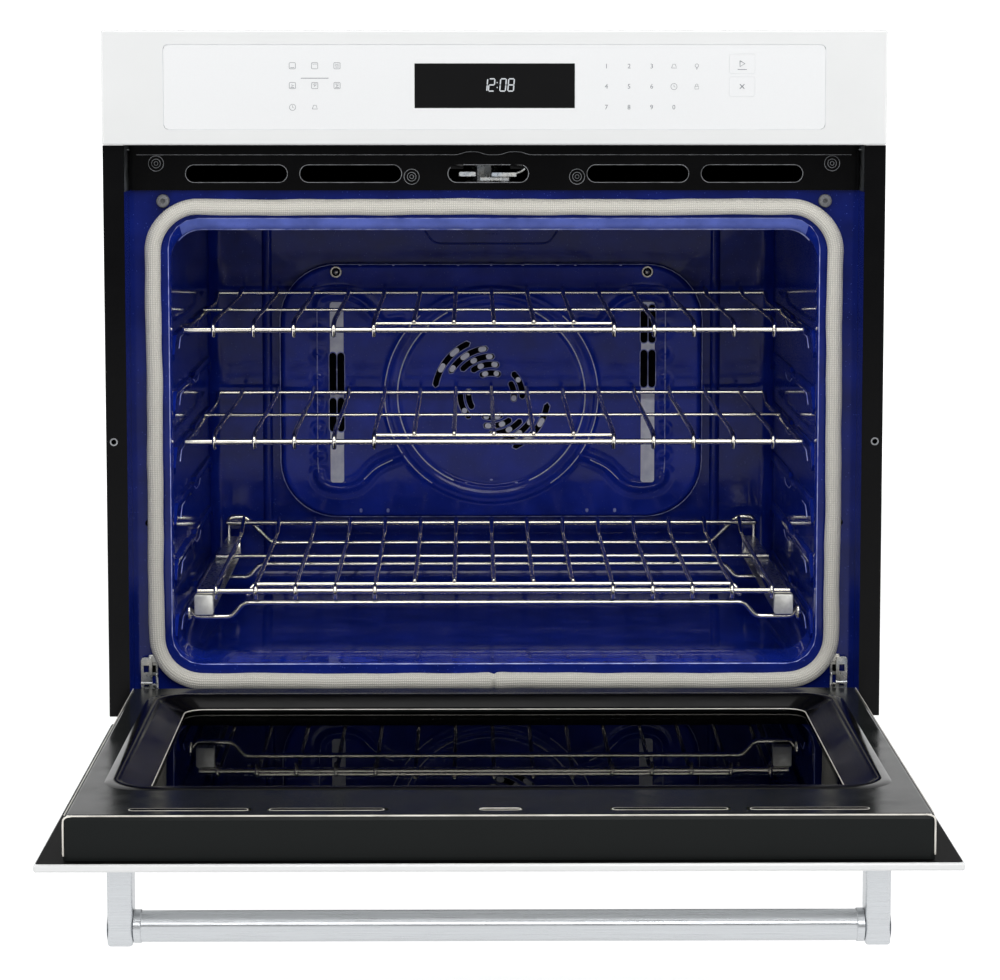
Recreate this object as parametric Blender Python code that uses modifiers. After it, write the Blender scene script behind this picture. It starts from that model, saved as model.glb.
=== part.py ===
"""Built-in wall oven, 762 mm wide, as separate solids: chassis, cavity, racks, controls and drop-down door.

Units are metres, +Z is up and -Y is the front. The origin is the middle of the chassis base's underside.
A depth is measured backwards from the face of the control panel. The door's pieces are drawn as if the
door were shut and hang from an empty on the hinge axis, which is turned to hold the door wide open.
"""

import math

import bmesh
import bpy
from mathutils import Matrix, Vector

# Overall sizes
OVEN_WIDTH = 0.762
OVEN_HEIGHT = 0.733
CHASSIS_WIDTH = 0.7252
CHASSIS_DEPTH = 0.591
CHASSIS_TOP_DROP = 0.010
PANEL_HEIGHT = 0.111
FLANGE_DEPTH = 0.0082  # control panel face to cabinet face

# Sheet and clearances
SHEET = 0.0012
CHASSIS_SHEET = 0.001
SEAT_GAP = 0.0003  # between pieces that touch
RUN_GAP = 0.0005  # between sliding members
CUT = 0.010  # how far a cutter runs past what it cuts
EDGE_ROUND = 0.002  # rounded edges of the painted panels

# Front
TRIM_WIDTH = 0.0205
TRIM_FACE = 0.007
TRIM_BOTTOM = 0.058
TRIM_RETURN_END = 0.020
TRIM_HOLE_RADIUS = 0.0025
TRIM_HOLE_HEIGHT = 0.3315
TRIM_HOLE_INSET = 0.0075
LOWER_TRIM_STEP = 0.038
LOWER_TRIM_RISER = 0.0182
FRAME_FACE = 0.052
FRAME_BOTTOM = 0.030
VENT_TRIM_FACE = 0.045
VENT_TRIM_RISE = 0.0276  # cavity top to the vent trim's lower edge
VENT_SLOT = (0.099, 0.016)
VENT_SLOT_CENTRES = (0.1415, 0.254)
LATCH_SLOT = (-0.045, 0.033)
VENT_TRIM_SIDE_GAP = 0.001
VENT_SLOT_RISE = 0.0164  # vent trim's lower edge to its slots' centre line

# Cavity
CAVITY_WIDTH = 0.646
CAVITY_HEIGHT = 0.4475
CAVITY_FLOOR = 0.1015
CAVITY_DEPTH = 0.4935
CAVITY_CORNER = 0.030
WELL_RADIUS = 0.118
WELL_DEPTH = 0.020
FAN_CENTRE_RISE = 0.2225  # fan axis above the cavity floor
SHAFT_HOLE_RADIUS = 0.007
GASKET_RADIUS = 0.008
GASKET_SIDE = 0.014  # cavity side to the tube's centre line
GASKET_BELOW = 0.0155
GASKET_ABOVE = 0.011
GASKET_CORNER = 0.045
BUMPER_RADIUS = 0.0065
BUMPER_RISE = 0.017
BUMPER_SIDE = 0.004

# Rack guides and racks
GUIDE_PITCH = 0.057
GUIDE_LEVELS = 6
TOP_GUIDE_DROP = 0.116  # cavity top to the highest rack's wires
GUIDE_HEIGHT = 0.006
GUIDE_REACH = 0.014
GUIDE_FRONT = 0.040  # cavity mouth to the guides' front ends
GUIDE_REAR = 0.020
RACK_SIDE_WIRE = 0.0032
RACK_WIRE = 0.0022
WELD_DEPTH = 0.0016  # how far welded wires sink into each other
RACK_SIDE_CLEARANCE = 0.0088
RACK_FRONT = 0.110
RACK_BACK_CLEARANCE = 0.0065
RACK_BACK_RISE = 0.010
RACK_CORNER = 0.012
RACK_BEND = 0.035  # back edge to where the side wires start to climb
RACK_BAR_INSET = 0.010
WIRE_BEND = (0.030, 0.008)  # where a long wire starts and ends its climb
WIRE_LAP = 0.001  # how far a long wire runs past the front bar's centre line
WIRE_PITCH = 0.0405
WIRES = 15
GLIDE_RISE = 0.018  # glide rack's wires above its base frame
CRADLE_WIRE = 0.0026
CRADLE_DROP = 0.010
CRADLE_RISE = 0.005
CRADLE_BEND = 0.072  # side wire to where a cross wire climbs
CRADLE_CLIMB = 0.012
CRADLE_INSET = 0.012  # rack's front and back edges to the outer cross wires
CRADLE_SIDE_LAP = 0.006
SLIDE_WIDTH = 0.020
SLIDE_SHEET = 0.0015
SLIDE_HEIGHT = 0.022
SLIDE_LEG = 0.0035
SLIDE_MOUTH = 0.006  # slide width less a channel's depth
SLIDE_INSET = (0.006, 0.004)  # rack's front and back edges to the slides' ends
SLIDE_STAGGER = 0.004  # how much shorter each inner member is at the back
SLIDE_WELD = 0.0005  # how far the inner bar's pieces are set into each other
GLIDE_BACK_RISE = 0.014
GLIDE_BAR_INSET = (0.004, 0.014)  # rack's front and back edges to the deck's bars

# Rear baffle
BAFFLE_WIDTH = 0.484
BAFFLE_LOW = 0.0815
BAFFLE_HEIGHT = 0.291
BAFFLE_CORNER = 0.065
BAFFLE_PROUD = 0.017
INTAKE_SLOTS = 10
INTAKE_SLOT = (0.026, 0.004)
INTAKE_REACH = 0.032
OUTLET_X = 0.179
OUTLET_WIDTH = 0.018
OUTLET_SPAN = (-0.100, 0.105)  # below and above the fan's axis

# Door, as if shut
DOOR_BOTTOM = 0.060
DOOR_TOP_GAP = 0.003
DOOR_OUTER = -0.0005
DOOR_SKIN = 0.007
LINER_DEPTH = 0.0377
LINER_SIDE_GAP = 0.0023
LINER_BOTTOM_STEP = 0.010
LINER_TOP_STEP = 0.011
WINDOW_WIDTH = 0.652
WINDOW_LOW = 0.042
WINDOW_HEIGHT = 0.392
WINDOW_LEDGE = 0.024
WINDOW_CORNER = 0.020
WINDOW_SINK = 0.0125
WINDOW_LIP = (0.010, 0.009)  # recess to glass at the bottom and top
GLASS_MARGIN = (0.014, 0.002)  # recess to the glass's hidden edges, sideways and upwards
SIGHT_MARGIN = (0.036, 0.018)  # recess to the outer pan's window, sideways and upwards
SIGHT_CORNER = 0.010
SPACER = (0.009, 0.007)  # spacer frame's width and thickness
SKIN_FLANGE = 0.004  # how far the outer pan's back is cut in
LINER_EDGE = 0.004
LINER_CONTENT_GAP = 0.001  # liner's walls to what is inside it
LINER_SLOT = (-0.006, 0.003)  # slot's lower and upper edges from the latch's height
LINER_LATCH_SLOT = (-0.025, 0.009)
DOOR_WOOL = (0.165, 0.012)  # window's bottom to the wool, and the wool to the latch's height
GLASS = 0.0037
HANDLE_LENGTH = 0.649
HANDLE_POST = (0.021, 0.070, 0.026)
HANDLE_POST_CORNER = 0.003
HANDLE_BAR_RADIUS = 0.013
HANDLE_DROP = 0.043  # door top to the bar's centre line
HANDLE_BAR_STANDOFF = 0.0561
DOOR_OPEN_ANGLE = math.radians(90)

# Hinges
PIVOT_DEPTH = 0.0167
PIVOT_DROP = 0.0007  # door bottom to pivot
HINGE_X = 0.348
TONGUE_WIDTH = 0.004
PIN_RADIUS = 0.003
EYE_RADIUS = 0.0062
FORK_WIDTH = 0.014
FORK_SLOT = 0.0052
FORK_CORNER = 0.0055
ARM_FRONT = 0.0045  # pivot to the arm channel's front
ARM_TOP = 0.262
ARM_FOOT = (0.0045, 0.009, 0.010)  # liner's floor to the channel, to the fork's top and to the channel's room
ARM_NOTCH = (0.0075, 0.0052)  # half the liner's notch along depth, and its height
ARM_NOTCH_GAP = 0.0006
HINGE_NOTCH = (0.003, 0.005)  # lower trim's clearance beside and below a fork
TONGUE_TAIL = 0.055
PIN_OVERHANG = 0.003
HORN_HALF = 0.0028
HORN_ABOVE = 0.004
LEVER_PIVOT_RISE = 0.0167
LEVER_PIVOT_DEPTH = 0.0483
LEVER_PIN_RADIUS = 0.0018
LEVER_LENGTH = 0.034
LEVER_WIDTH = 0.011
LEVER_BLOCK = (0.0030, 0.0028)  # pivot to the lever's front and back
LEVER_HEEL = 0.003  # pivot to the lever's lower end
LEVER_SHOULDER = 0.010
LEVER_CORNER = 0.002
LEVER_BLADE = (0.0026, 0.0006)  # pivot to the blade's front and back
LEVER_BLADE_CORNER = 0.003
LEVER_LAP = 0.002
LEVER_EAR = (0.0006, 0.0065)  # gap beside the horn, and its height above the pivot
LEVER_WINDOW = (0.003, 0.019, 0.026)  # half width, lower and upper edges

# Latch
LATCH_X = 0.010
LATCH_DEPTH = 0.056
LATCH_REACH = 0.024
LATCH_PIN_RADIUS = 0.003
LATCH_HEIGHT = 0.0385  # hook above the cavity top
LATCH_SHEET = 0.003
LATCH_BOSS = 0.0065
LATCH_COLLAR = 0.006
LATCH_PIN_LENGTH = 0.010
LATCH_ARM = (0.004, 0.003)  # pivot to the arm's front and back edges
LATCH_BARB = (0.0055, 0.006)  # barb's reach forward and its width
LATCH_PLATE = ((-0.050, 0.045), 0.140, 0.002)  # plate's sides, back edge and thickness
LATCH_MOTOR = (-0.010, 0.110, 0.018, 0.030)  # x, depth, radius and height

# Controls
GLASS_PANEL = (0.642, 0.0825)
GLASS_PANEL_LOW = 0.0148
GLASS_PANEL_CORNER = 0.005
DISPLAY = (0.1554, 0.0432)
DISPLAY_LOW = 0.0357
GLASS_RECESS = 0.0005  # panel face to the touch glass
LENS_RECESS = 0.0004
RIM_LAP = 0.002
SENSOR_WINDOW = (0.300, 0.012)  # half width, and its margin inside the glass
BOARD_THICKNESS = 0.0016
BOARD_HALF = (0.290, 0.026)
BOARD_STANDOFF = 0.007
DISPLAY_MODULE_HALF = 0.018
CONTROL_PARTS = ((-0.120, 0.090), (-0.020, 0.016), 0.012)

# Heating, fans and electrics
ELEMENT_RADIUS = 0.0033
ELEMENT_DROP = 0.018
BROIL_WIDTH = 0.450
BROIL_RUNS = 6
BROIL_FRONT = 0.130
BROIL_REAR = 0.060  # cavity's back to the rear turns
BROIL_TURN = 0.018
BROIL_PLATE = (0.014, 0.009, 0.003)  # half width, half height and thickness
BAKE_INSET = 0.050
BAKE_FRONT = 0.160
BAKE_REAR = (0.080, 0.020)  # cavity's back to the cross run and to the terminals
BAKE_TERMINAL_X = 0.030
INSULATION = 0.025
BAKE_BAY = 0.020
BLANKET_FRONT = 0.060  # cavity's mouth to the blanket
BLANKET_LAMP_GAP = 0.0065
FAN_RADIUS = 0.078
FAN_BLADES = 8
FAN_SHEET = 0.0015
FAN_SHAFT = 0.004
FAN_HUB = 0.012
FAN_BLADE = (0.010, 0.004, 0.0016)  # hub end, clearance inside the rim, and thickness
FAN_FRONT_GAP = 0.006  # baffle's inside to the blades
FAN_BACK_GAP = 0.004
RING_GAP = 0.014  # well's wall to the ring heater's centre line
RING_PROUD = 0.006  # ring heater behind the cavity's back wall
RING_ARC = 330
RING_FOOT = (0.012, 0.002, 0.004)  # half width, front lap and half height
MOTOR_RADIUS = 0.045
DUCT_WIDTH = 0.620
DUCT_TAIL = 0.080  # blower's axis to the duct's back
LATCH_BAY = (0.072, 0.160)  # half width and back edge of the duct's notch
BLOWER_LENGTH = 0.190
BLOWER_RADIUS = 0.026
BLOWER_BLADES = 12
BLOWER_X = -0.100
BLOWER_DEPTH = 0.330
BLOWER_RISE = 0.036  # bay floor to the axis
BLOWER_RIM = 0.006  # how far the blades stand out of the drum
BLOWER_ROOM = 0.004
BLOWER_END_GAP = 0.002
BLOWER_VANE = 0.0016
BLOWER_CORNER = 0.012
BLOWER_MOTOR = (0.024, 0.040)  # radius and length
BLOWER_INTAKE = (-0.010, 0.020)  # lower and upper edges from the axis
THROAT_HALF = 0.010
RELAY_BOARD = ((0.040, 0.220), (0.130, 0.250))
RELAY_STANDOFF = 0.008
RELAY_FOOT = (0.008, 0.004)  # foot's centre inside the board's edge, and half its width
RELAYS = 4
RELAY = (0.022, 0.028, 0.020)
RELAY_START = (0.060, 0.150)
RELAY_PITCH = 0.034
BAY_FLOOR_DROP = 0.006  # control panel's lower edge to the bay floor's underside
LAMP = (-0.262, 0.400)
LAMP_RADIUS = 0.018
LAMP_WALL = 0.006
LAMP_HEIGHT = 0.022
LENS_DROP = 0.008
LENS_DOME = 0.003
PROBE_X = 0.285
PROBE_LENGTH = 0.110
PROBE_RADIUS = 0.0025
PROBE_FLANGE = (0.009, 0.002)
JUNCTION_BOX = (0.080, 0.050, 0.060)
JUNCTION_X = 0.290
KNOCKOUT_RADIUS = 0.011

# Worked out from the sizes above
PANEL_FACE_Y = -CHASSIS_DEPTH / 2 - FLANGE_DEPTH
PANEL_BOTTOM = OVEN_HEIGHT - PANEL_HEIGHT
CAVITY_TOP = CAVITY_FLOOR + CAVITY_HEIGHT
CAVITY_MOUTH = FRAME_FACE + SHEET + SEAT_GAP
CAVITY_BACK = CAVITY_MOUTH + CAVITY_DEPTH
CHASSIS_BACK = FLANGE_DEPTH + CHASSIS_DEPTH
CHASSIS_TOP = OVEN_HEIGHT - CHASSIS_TOP_DROP
SIDE_OUTER = CHASSIS_WIDTH / 2
SIDE_INNER = SIDE_OUTER - CHASSIS_SHEET
INNER_HALF = SIDE_INNER - SEAT_GAP
RECESS_HALF = INNER_HALF - CHASSIS_SHEET
TRIM_BACK = FLANGE_DEPTH
BODY_FRONT = TRIM_RETURN_END + SEAT_GAP
VENT_TRIM_BOTTOM = CAVITY_TOP + VENT_TRIM_RISE
VENT_SLOT_CENTRE_Z = VENT_TRIM_BOTTOM + VENT_SLOT_RISE
BAY_FLOOR_TOP = PANEL_BOTTOM - BAY_FLOOR_DROP + CHASSIS_SHEET
FAN_Z = CAVITY_FLOOR + FAN_CENTRE_RISE
INSULATION_TOP = CAVITY_TOP + SHEET + SEAT_GAP + INSULATION
TOP_RACK_Z = CAVITY_TOP - TOP_GUIDE_DROP
GUIDE_HEIGHTS = [TOP_RACK_Z - i * GUIDE_PITCH for i in range(GUIDE_LEVELS)]
RACK_BACK = CAVITY_BACK - BAFFLE_PROUD - RACK_BACK_CLEARANCE - RACK_SIDE_WIRE
RACK_HALF = CAVITY_WIDTH / 2 - RACK_SIDE_CLEARANCE - RACK_SIDE_WIRE
CRADLE_POST = CAVITY_WIDTH / 2 - GUIDE_REACH - RUN_GAP - CRADLE_WIRE
PIVOT_Z = DOOR_BOTTOM - PIVOT_DROP
DOOR_TOP = PANEL_BOTTOM - DOOR_TOP_GAP
SKIN_BACK = DOOR_OUTER + DOOR_SKIN
LINER_FRONT = SKIN_BACK + SEAT_GAP
LINER_BACK = LINER_FRONT + LINER_DEPTH
LINER_HALF = RECESS_HALF - LINER_SIDE_GAP
LINER_BOTTOM = DOOR_BOTTOM + LINER_BOTTOM_STEP
LINER_TOP = DOOR_TOP - LINER_TOP_STEP
WINDOW_BOTTOM = LINER_BOTTOM + WINDOW_LOW
WINDOW_TOP = WINDOW_BOTTOM + WINDOW_HEIGHT
LEDGE_FRONT = LINER_BACK - WINDOW_SINK - SHEET
LATCH_Z = CAVITY_TOP + LATCH_HEIGHT
DUCT_BOTTOM = max(VENT_TRIM_BOTTOM, INSULATION_TOP) + SEAT_GAP
DUCT_TOP = BAY_FLOOR_TOP - CHASSIS_SHEET - SEAT_GAP
BROIL_Z = CAVITY_TOP - ELEMENT_DROP
BLOWER_Z = BAY_FLOOR_TOP + BLOWER_RISE

SIDES = (("left", -1), ("right", 1))

for old in list(bpy.data.objects):
    bpy.data.objects.remove(old, do_unlink=True)

PARTS = bpy.data.collections.new("wall_oven")
CUTTERS = bpy.data.collections.new("cutters")
for group in (PARTS, CUTTERS):
    bpy.context.scene.collection.children.link(group)


def material(name, colour, roughness, metallic=0.0, alpha=1.0):
    made = bpy.data.materials.new(name)
    made.use_nodes = True
    shader = made.node_tree.nodes["Principled BSDF"]
    shader.inputs["Base Color"].default_value = (*colour, 1.0)
    shader.inputs["Roughness"].default_value = roughness
    shader.inputs["Metallic"].default_value = metallic
    shader.inputs["Alpha"].default_value = alpha
    return made


WHITE_ENAMEL = material("white_enamel", (0.84, 0.85, 0.86), 0.25)
WHITE_GLASS = material("white_glass", (0.86, 0.87, 0.88), 0.12)
BLACK_GLASS = material("black_glass", (0.01, 0.01, 0.012), 0.05)
CLEAR_GLASS = material("clear_glass", (0.35, 0.38, 0.38), 0.03, alpha=0.4)
BLACK_ENAMEL = material("black_enamel", (0.012, 0.012, 0.014), 0.22)
BLUE_ENAMEL = material("blue_enamel", (0.014, 0.022, 0.12), 0.18)
ZINC = material("zinc_plate", (0.55, 0.56, 0.58), 0.38, 0.9)
GALVANISED = material("galvanised_steel", (0.42, 0.43, 0.44), 0.5, 0.8)
CHROME = material("chrome_wire", (0.62, 0.62, 0.61), 0.16, 1.0)
ALUMINIUM = material("brushed_aluminium", (0.5, 0.51, 0.52), 0.35, 1.0)
GLASS_FIBRE = material("woven_glass_fibre", (0.68, 0.66, 0.62), 0.9)
WOOL = material("mineral_wool", (0.58, 0.54, 0.40), 0.95)
SILICONE = material("grey_silicone", (0.16, 0.16, 0.17), 0.6)
HEATER = material("heater_sheath", (0.07, 0.07, 0.075), 0.5, 0.7)
BOARD = material("circuit_board", (0.02, 0.14, 0.06), 0.5)
MOTOR = material("motor_lamination", (0.2, 0.2, 0.21), 0.5, 0.7)


def at(depth):
    """The Y of a depth behind the control panel's face."""
    return PANEL_FACE_Y + depth


def put(obj, finish, parent):
    """Files an object as a piece with its material, or as a cutter when it has none."""
    if finish is None:
        CUTTERS.objects.link(obj)
        obj.hide_render = True
        obj.display_type = "WIRE"
    else:
        PARTS.objects.link(obj)
        obj.data.materials.clear()
        obj.data.materials.append(finish)
    if parent:
        obj.parent = parent
    return obj


def block(name, low, high, finish=None, round_axis=None, radius=0.0, segments=3, parent=None):
    """A box between two corners given as (x, depth, z), its edges along one axis rounded if asked.

    Under the door's axis the corners are those of the shut door.
    """
    low, high = Vector(low), Vector(high)
    size = high - low
    centre = (low + high) / 2
    centre.y = at(centre.y)
    if parent:
        centre -= parent.location
    grid = bmesh.new()
    bmesh.ops.create_cube(grid, size=1.0, matrix=Matrix.Diagonal((*size, 1.0)))
    if round_axis is not None:
        along = [
            e for e in grid.edges
            if abs((e.verts[0].co - e.verts[1].co)[round_axis]) > 0.9 * size[round_axis]
        ]
        bmesh.ops.bevel(grid, geom=along, offset=radius, segments=segments, profile=0.5, affect="EDGES")
    mesh = bpy.data.meshes.new(name)
    grid.to_mesh(mesh)
    grid.free()
    obj = bpy.data.objects.new(name, mesh)
    obj.location = centre
    return put(obj, finish, parent)


def rod(name, centre, radius, length, axis, finish=None, sides=16, parent=None):
    """A cylinder centred on (x, depth, z) with its length along axis 0, 1 or 2."""
    place = Vector(centre)
    place.y = at(place.y)
    if parent:
        place -= parent.location
    turn = Matrix.Identity(4)
    if axis == 0:
        turn = Matrix.Rotation(math.radians(90), 4, "Y")
    elif axis == 1:
        turn = Matrix.Rotation(math.radians(90), 4, "X")
    grid = bmesh.new()
    bmesh.ops.create_cone(
        grid, cap_ends=True, segments=sides, radius1=radius, radius2=radius, depth=length, matrix=turn
    )
    mesh = bpy.data.meshes.new(name)
    grid.to_mesh(mesh)
    grid.free()
    mesh.shade_smooth()
    mesh.set_sharp_from_angle(angle=math.radians(40))
    obj = bpy.data.objects.new(name, mesh)
    obj.location = place
    return put(obj, finish, parent)


def boolean(obj, other, operation):
    step = obj.modifiers.new(operation.lower(), "BOOLEAN")
    step.operation = operation
    step.object = other
    step.solver = "EXACT"


def cut(obj, *cutters):
    for cutter in cutters:
        boolean(obj, cutter, "DIFFERENCE")
    return obj


def join(obj, *others):
    for other in others:
        boolean(obj, other, "UNION")
    return obj


def wire(points, radius, closed=False, sides=1):
    """A bent wire through (x, depth, z) points, made a mesh so that it can be joined. Sides: 4 + 2 * sides."""
    curve = bpy.data.curves.new("wire", "CURVE")
    curve.dimensions = "3D"
    curve.bevel_depth = radius
    curve.bevel_resolution = sides
    curve.use_fill_caps = True
    spline = curve.splines.new("POLY")
    spline.points.add(len(points) - 1)
    for point, (x, depth, z) in zip(spline.points, points):
        point.co = (x, at(depth), z, 1.0)
    spline.use_cyclic_u = closed
    guide = bpy.data.objects.new("wire", curve)
    bpy.context.scene.collection.objects.link(guide)
    bpy.context.view_layer.update()
    mesh = bpy.data.meshes.new_from_object(guide.evaluated_get(bpy.context.evaluated_depsgraph_get()))
    bpy.data.objects.remove(guide, do_unlink=True)
    bpy.data.curves.remove(curve)
    grid = bmesh.new()
    grid.from_mesh(mesh)
    bmesh.ops.remove_doubles(grid, verts=grid.verts, dist=0.00001)
    bmesh.ops.recalc_face_normals(grid, faces=grid.faces)
    grid.to_mesh(mesh)
    grid.free()
    return mesh


def welded_wires(name, meshes, finish, extra=()):
    """One body from wires and blocks that overlap where they are welded."""
    helpers = bpy.data.collections.new(name + "_wires")
    CUTTERS.children.link(helpers)
    for i, mesh in enumerate(meshes[1:]):
        helper = bpy.data.objects.new(f"{name}_wire_{i}", mesh)
        helper.hide_render = True
        helper.display_type = "WIRE"
        helpers.objects.link(helper)
    obj = put(bpy.data.objects.new(name, meshes[0]), finish, None)
    if len(meshes) > 1:
        step = obj.modifiers.new("weld_wires", "BOOLEAN")
        step.operation = "UNION"
        step.operand_type = "COLLECTION"
        step.collection = helpers
        step.solver = "EXACT"
    return join(obj, *extra)


def soften(obj, width):
    """Rounds all the sharp edges of a painted or enamelled panel."""
    edge = obj.modifiers.new("edge", "BEVEL")
    edge.width = width
    edge.segments = 2
    edge.limit_method = "ANGLE"
    return obj


def axis_empty(name, x, depth, z):
    """An empty on a joint's axis."""
    empty = bpy.data.objects.new(name, None)
    empty.location = (x, at(depth), z)
    PARTS.objects.link(empty)
    return empty


def arc(cx, cy, radius, start, end, steps):
    """Points along an arc, angles in degrees."""
    angles = [math.radians(start + (end - start) * i / steps) for i in range(steps + 1)]
    return [(cx + radius * math.cos(a), cy + radius * math.sin(a)) for a in angles]


def rounded_loop(half, low, high, radius, steps):
    """A rounded rectangle's (x, z) points, anticlockwise from its lower right corner."""
    loop = []
    corners = (
        (half - radius, low + radius, -90), (half - radius, high - radius, 0),
        (radius - half, high - radius, 90), (radius - half, low + radius, 180),
    )
    for cx, cz, start in corners:
        loop += arc(cx, cz, radius, start, start + 90, steps)
    return loop


# Chassis -------------------------------------------------------------------------------------------


def chassis_panels():
    block("base_pan", (-INNER_HALF, BODY_FRONT, 0), (INNER_HALF, CHASSIS_BACK, CHASSIS_SHEET), GALVANISED)
    for side, sign in SIDES:
        inner, outer = sorted((sign * SIDE_INNER, sign * SIDE_OUTER))
        block(
            "side_panel_" + side, (inner, BODY_FRONT, 0), (outer, CHASSIS_BACK, CHASSIS_TOP), GALVANISED
        )
    block(
        "top_cover",
        (-SIDE_OUTER, BODY_FRONT, CHASSIS_TOP + SEAT_GAP),
        (SIDE_OUTER, CHASSIS_BACK, CHASSIS_TOP + SEAT_GAP + CHASSIS_SHEET),
        GALVANISED,
    )
    rear = block(
        "rear_panel",
        (-INNER_HALF, CHASSIS_BACK - CHASSIS_SHEET, CHASSIS_SHEET + SEAT_GAP),
        (INNER_HALF, CHASSIS_BACK, CHASSIS_TOP),
        GALVANISED,
    )
    knockout_z = BAY_FLOOR_TOP + SEAT_GAP + JUNCTION_BOX[2] / 2
    cut(rear, rod("knockout", (JUNCTION_X, CHASSIS_BACK, knockout_z), KNOCKOUT_RADIUS, CUT, 1))
    floor = block(
        "bay_floor",
        (-INNER_HALF, VENT_TRIM_FACE + SHEET + SEAT_GAP, BAY_FLOOR_TOP - CHASSIS_SHEET),
        (INNER_HALF, CHASSIS_BACK - CHASSIS_SHEET - SEAT_GAP, BAY_FLOOR_TOP),
        GALVANISED,
    )
    cut(floor, blower_throat("bay_throat", BAY_FLOOR_TOP))


def blower_throat(name, z):
    half = BLOWER_LENGTH / 2
    return block(
        name,
        (BLOWER_X - half, BLOWER_DEPTH - BLOWER_RADIUS, z - THROAT_HALF),
        (BLOWER_X + half, BLOWER_DEPTH, z + THROAT_HALF),
    )


def front_frame():
    """Enamelled sheet behind the door, with flanges that run forward beside it."""
    top = VENT_TRIM_BOTTOM - SEAT_GAP
    frame = block(
        "front_frame",
        (-INNER_HALF, TRIM_BACK + SEAT_GAP, FRAME_BOTTOM),
        (INNER_HALF, FRAME_FACE + SHEET, top),
        BLUE_ENAMEL,
    )
    hollow = block(
        "frame_hollow",
        (-RECESS_HALF, 0, FRAME_BOTTOM - CUT),
        (RECESS_HALF, FRAME_FACE, top + CUT),
    )
    mouth = block(
        "frame_mouth",
        (-CAVITY_WIDTH / 2, FRAME_FACE - CUT, CAVITY_FLOOR),
        (CAVITY_WIDTH / 2, FRAME_FACE + CUT, CAVITY_TOP),
        round_axis=1, radius=CAVITY_CORNER, segments=4,
    )
    swing_room = block(
        "frame_swing_room",
        (-OVEN_WIDTH / 2, 0, FRAME_BOTTOM - CUT), (OVEN_WIDTH / 2, TRIM_RETURN_END + SEAT_GAP, TRIM_BOTTOM),
    )
    cut(frame, hollow, mouth, swing_room)
    half = TONGUE_WIDTH / 2 + SEAT_GAP
    for side, sign in SIDES:
        x = sign * HINGE_X
        slot = block(
            "frame_slot_" + side,
            (x - half, FRAME_FACE - CUT, PIVOT_Z - EYE_RADIUS - SEAT_GAP),
            (x + half, FRAME_FACE + CUT, PIVOT_Z + EYE_RADIUS + SEAT_GAP),
        )
        cut(frame, slot)


def oven_cavity():
    """Enamelled box with a well for the fan in its back wall and rack guides pressed into its sides."""
    half = CAVITY_WIDTH / 2
    cavity = block(
        "oven_cavity",
        (-half - SHEET, CAVITY_MOUTH, CAVITY_FLOOR - SHEET),
        (half + SHEET, CAVITY_BACK + SHEET, CAVITY_TOP + SHEET),
        BLUE_ENAMEL, round_axis=1, radius=CAVITY_CORNER + SHEET, segments=4,
    )
    inside = block(
        "cavity_inside",
        (-half, CAVITY_MOUTH - CUT, CAVITY_FLOOR),
        (half, CAVITY_BACK, CAVITY_TOP),
        round_axis=1, radius=CAVITY_CORNER, segments=4,
    )
    well_back = CAVITY_BACK + WELL_DEPTH
    well = rod(
        "well_wall", (0, (CAVITY_BACK + SHEET / 2 + well_back + SHEET) / 2, FAN_Z),
        WELL_RADIUS + SHEET, WELL_DEPTH + SHEET / 2, 1, sides=24,
    )
    join(cavity, well)
    well_inside = rod(
        "well_inside", (0, CAVITY_BACK + (WELL_DEPTH - CUT) / 2, FAN_Z),
        WELL_RADIUS, WELL_DEPTH + CUT, 1, sides=24,
    )
    shaft_hole = rod("shaft_hole", (0, well_back, FAN_Z), SHAFT_HOLE_RADIUS, CUT, 1, sides=12)
    lamp_hole = rod(
        "lamp_hole", (LAMP[0], LAMP[1], CAVITY_TOP), LAMP_RADIUS + SEAT_GAP, CUT, 2, sides=16
    )
    cut(cavity, inside, well_inside, shaft_hole, lamp_hole)
    guide_top = -RACK_SIDE_WIRE - SEAT_GAP
    for side, sign in SIDES:
        for i, z in enumerate(GUIDE_HEIGHTS):
            inner, outer = sorted((sign * (half - GUIDE_REACH), sign * (half + SHEET / 2)))
            guide = block(
                f"guide_{side}_{i}",
                (inner, CAVITY_MOUTH + GUIDE_FRONT, z + guide_top - GUIDE_HEIGHT),
                (outer, CAVITY_BACK - GUIDE_REAR, z + guide_top),
            )
            join(cavity, guide)


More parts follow.
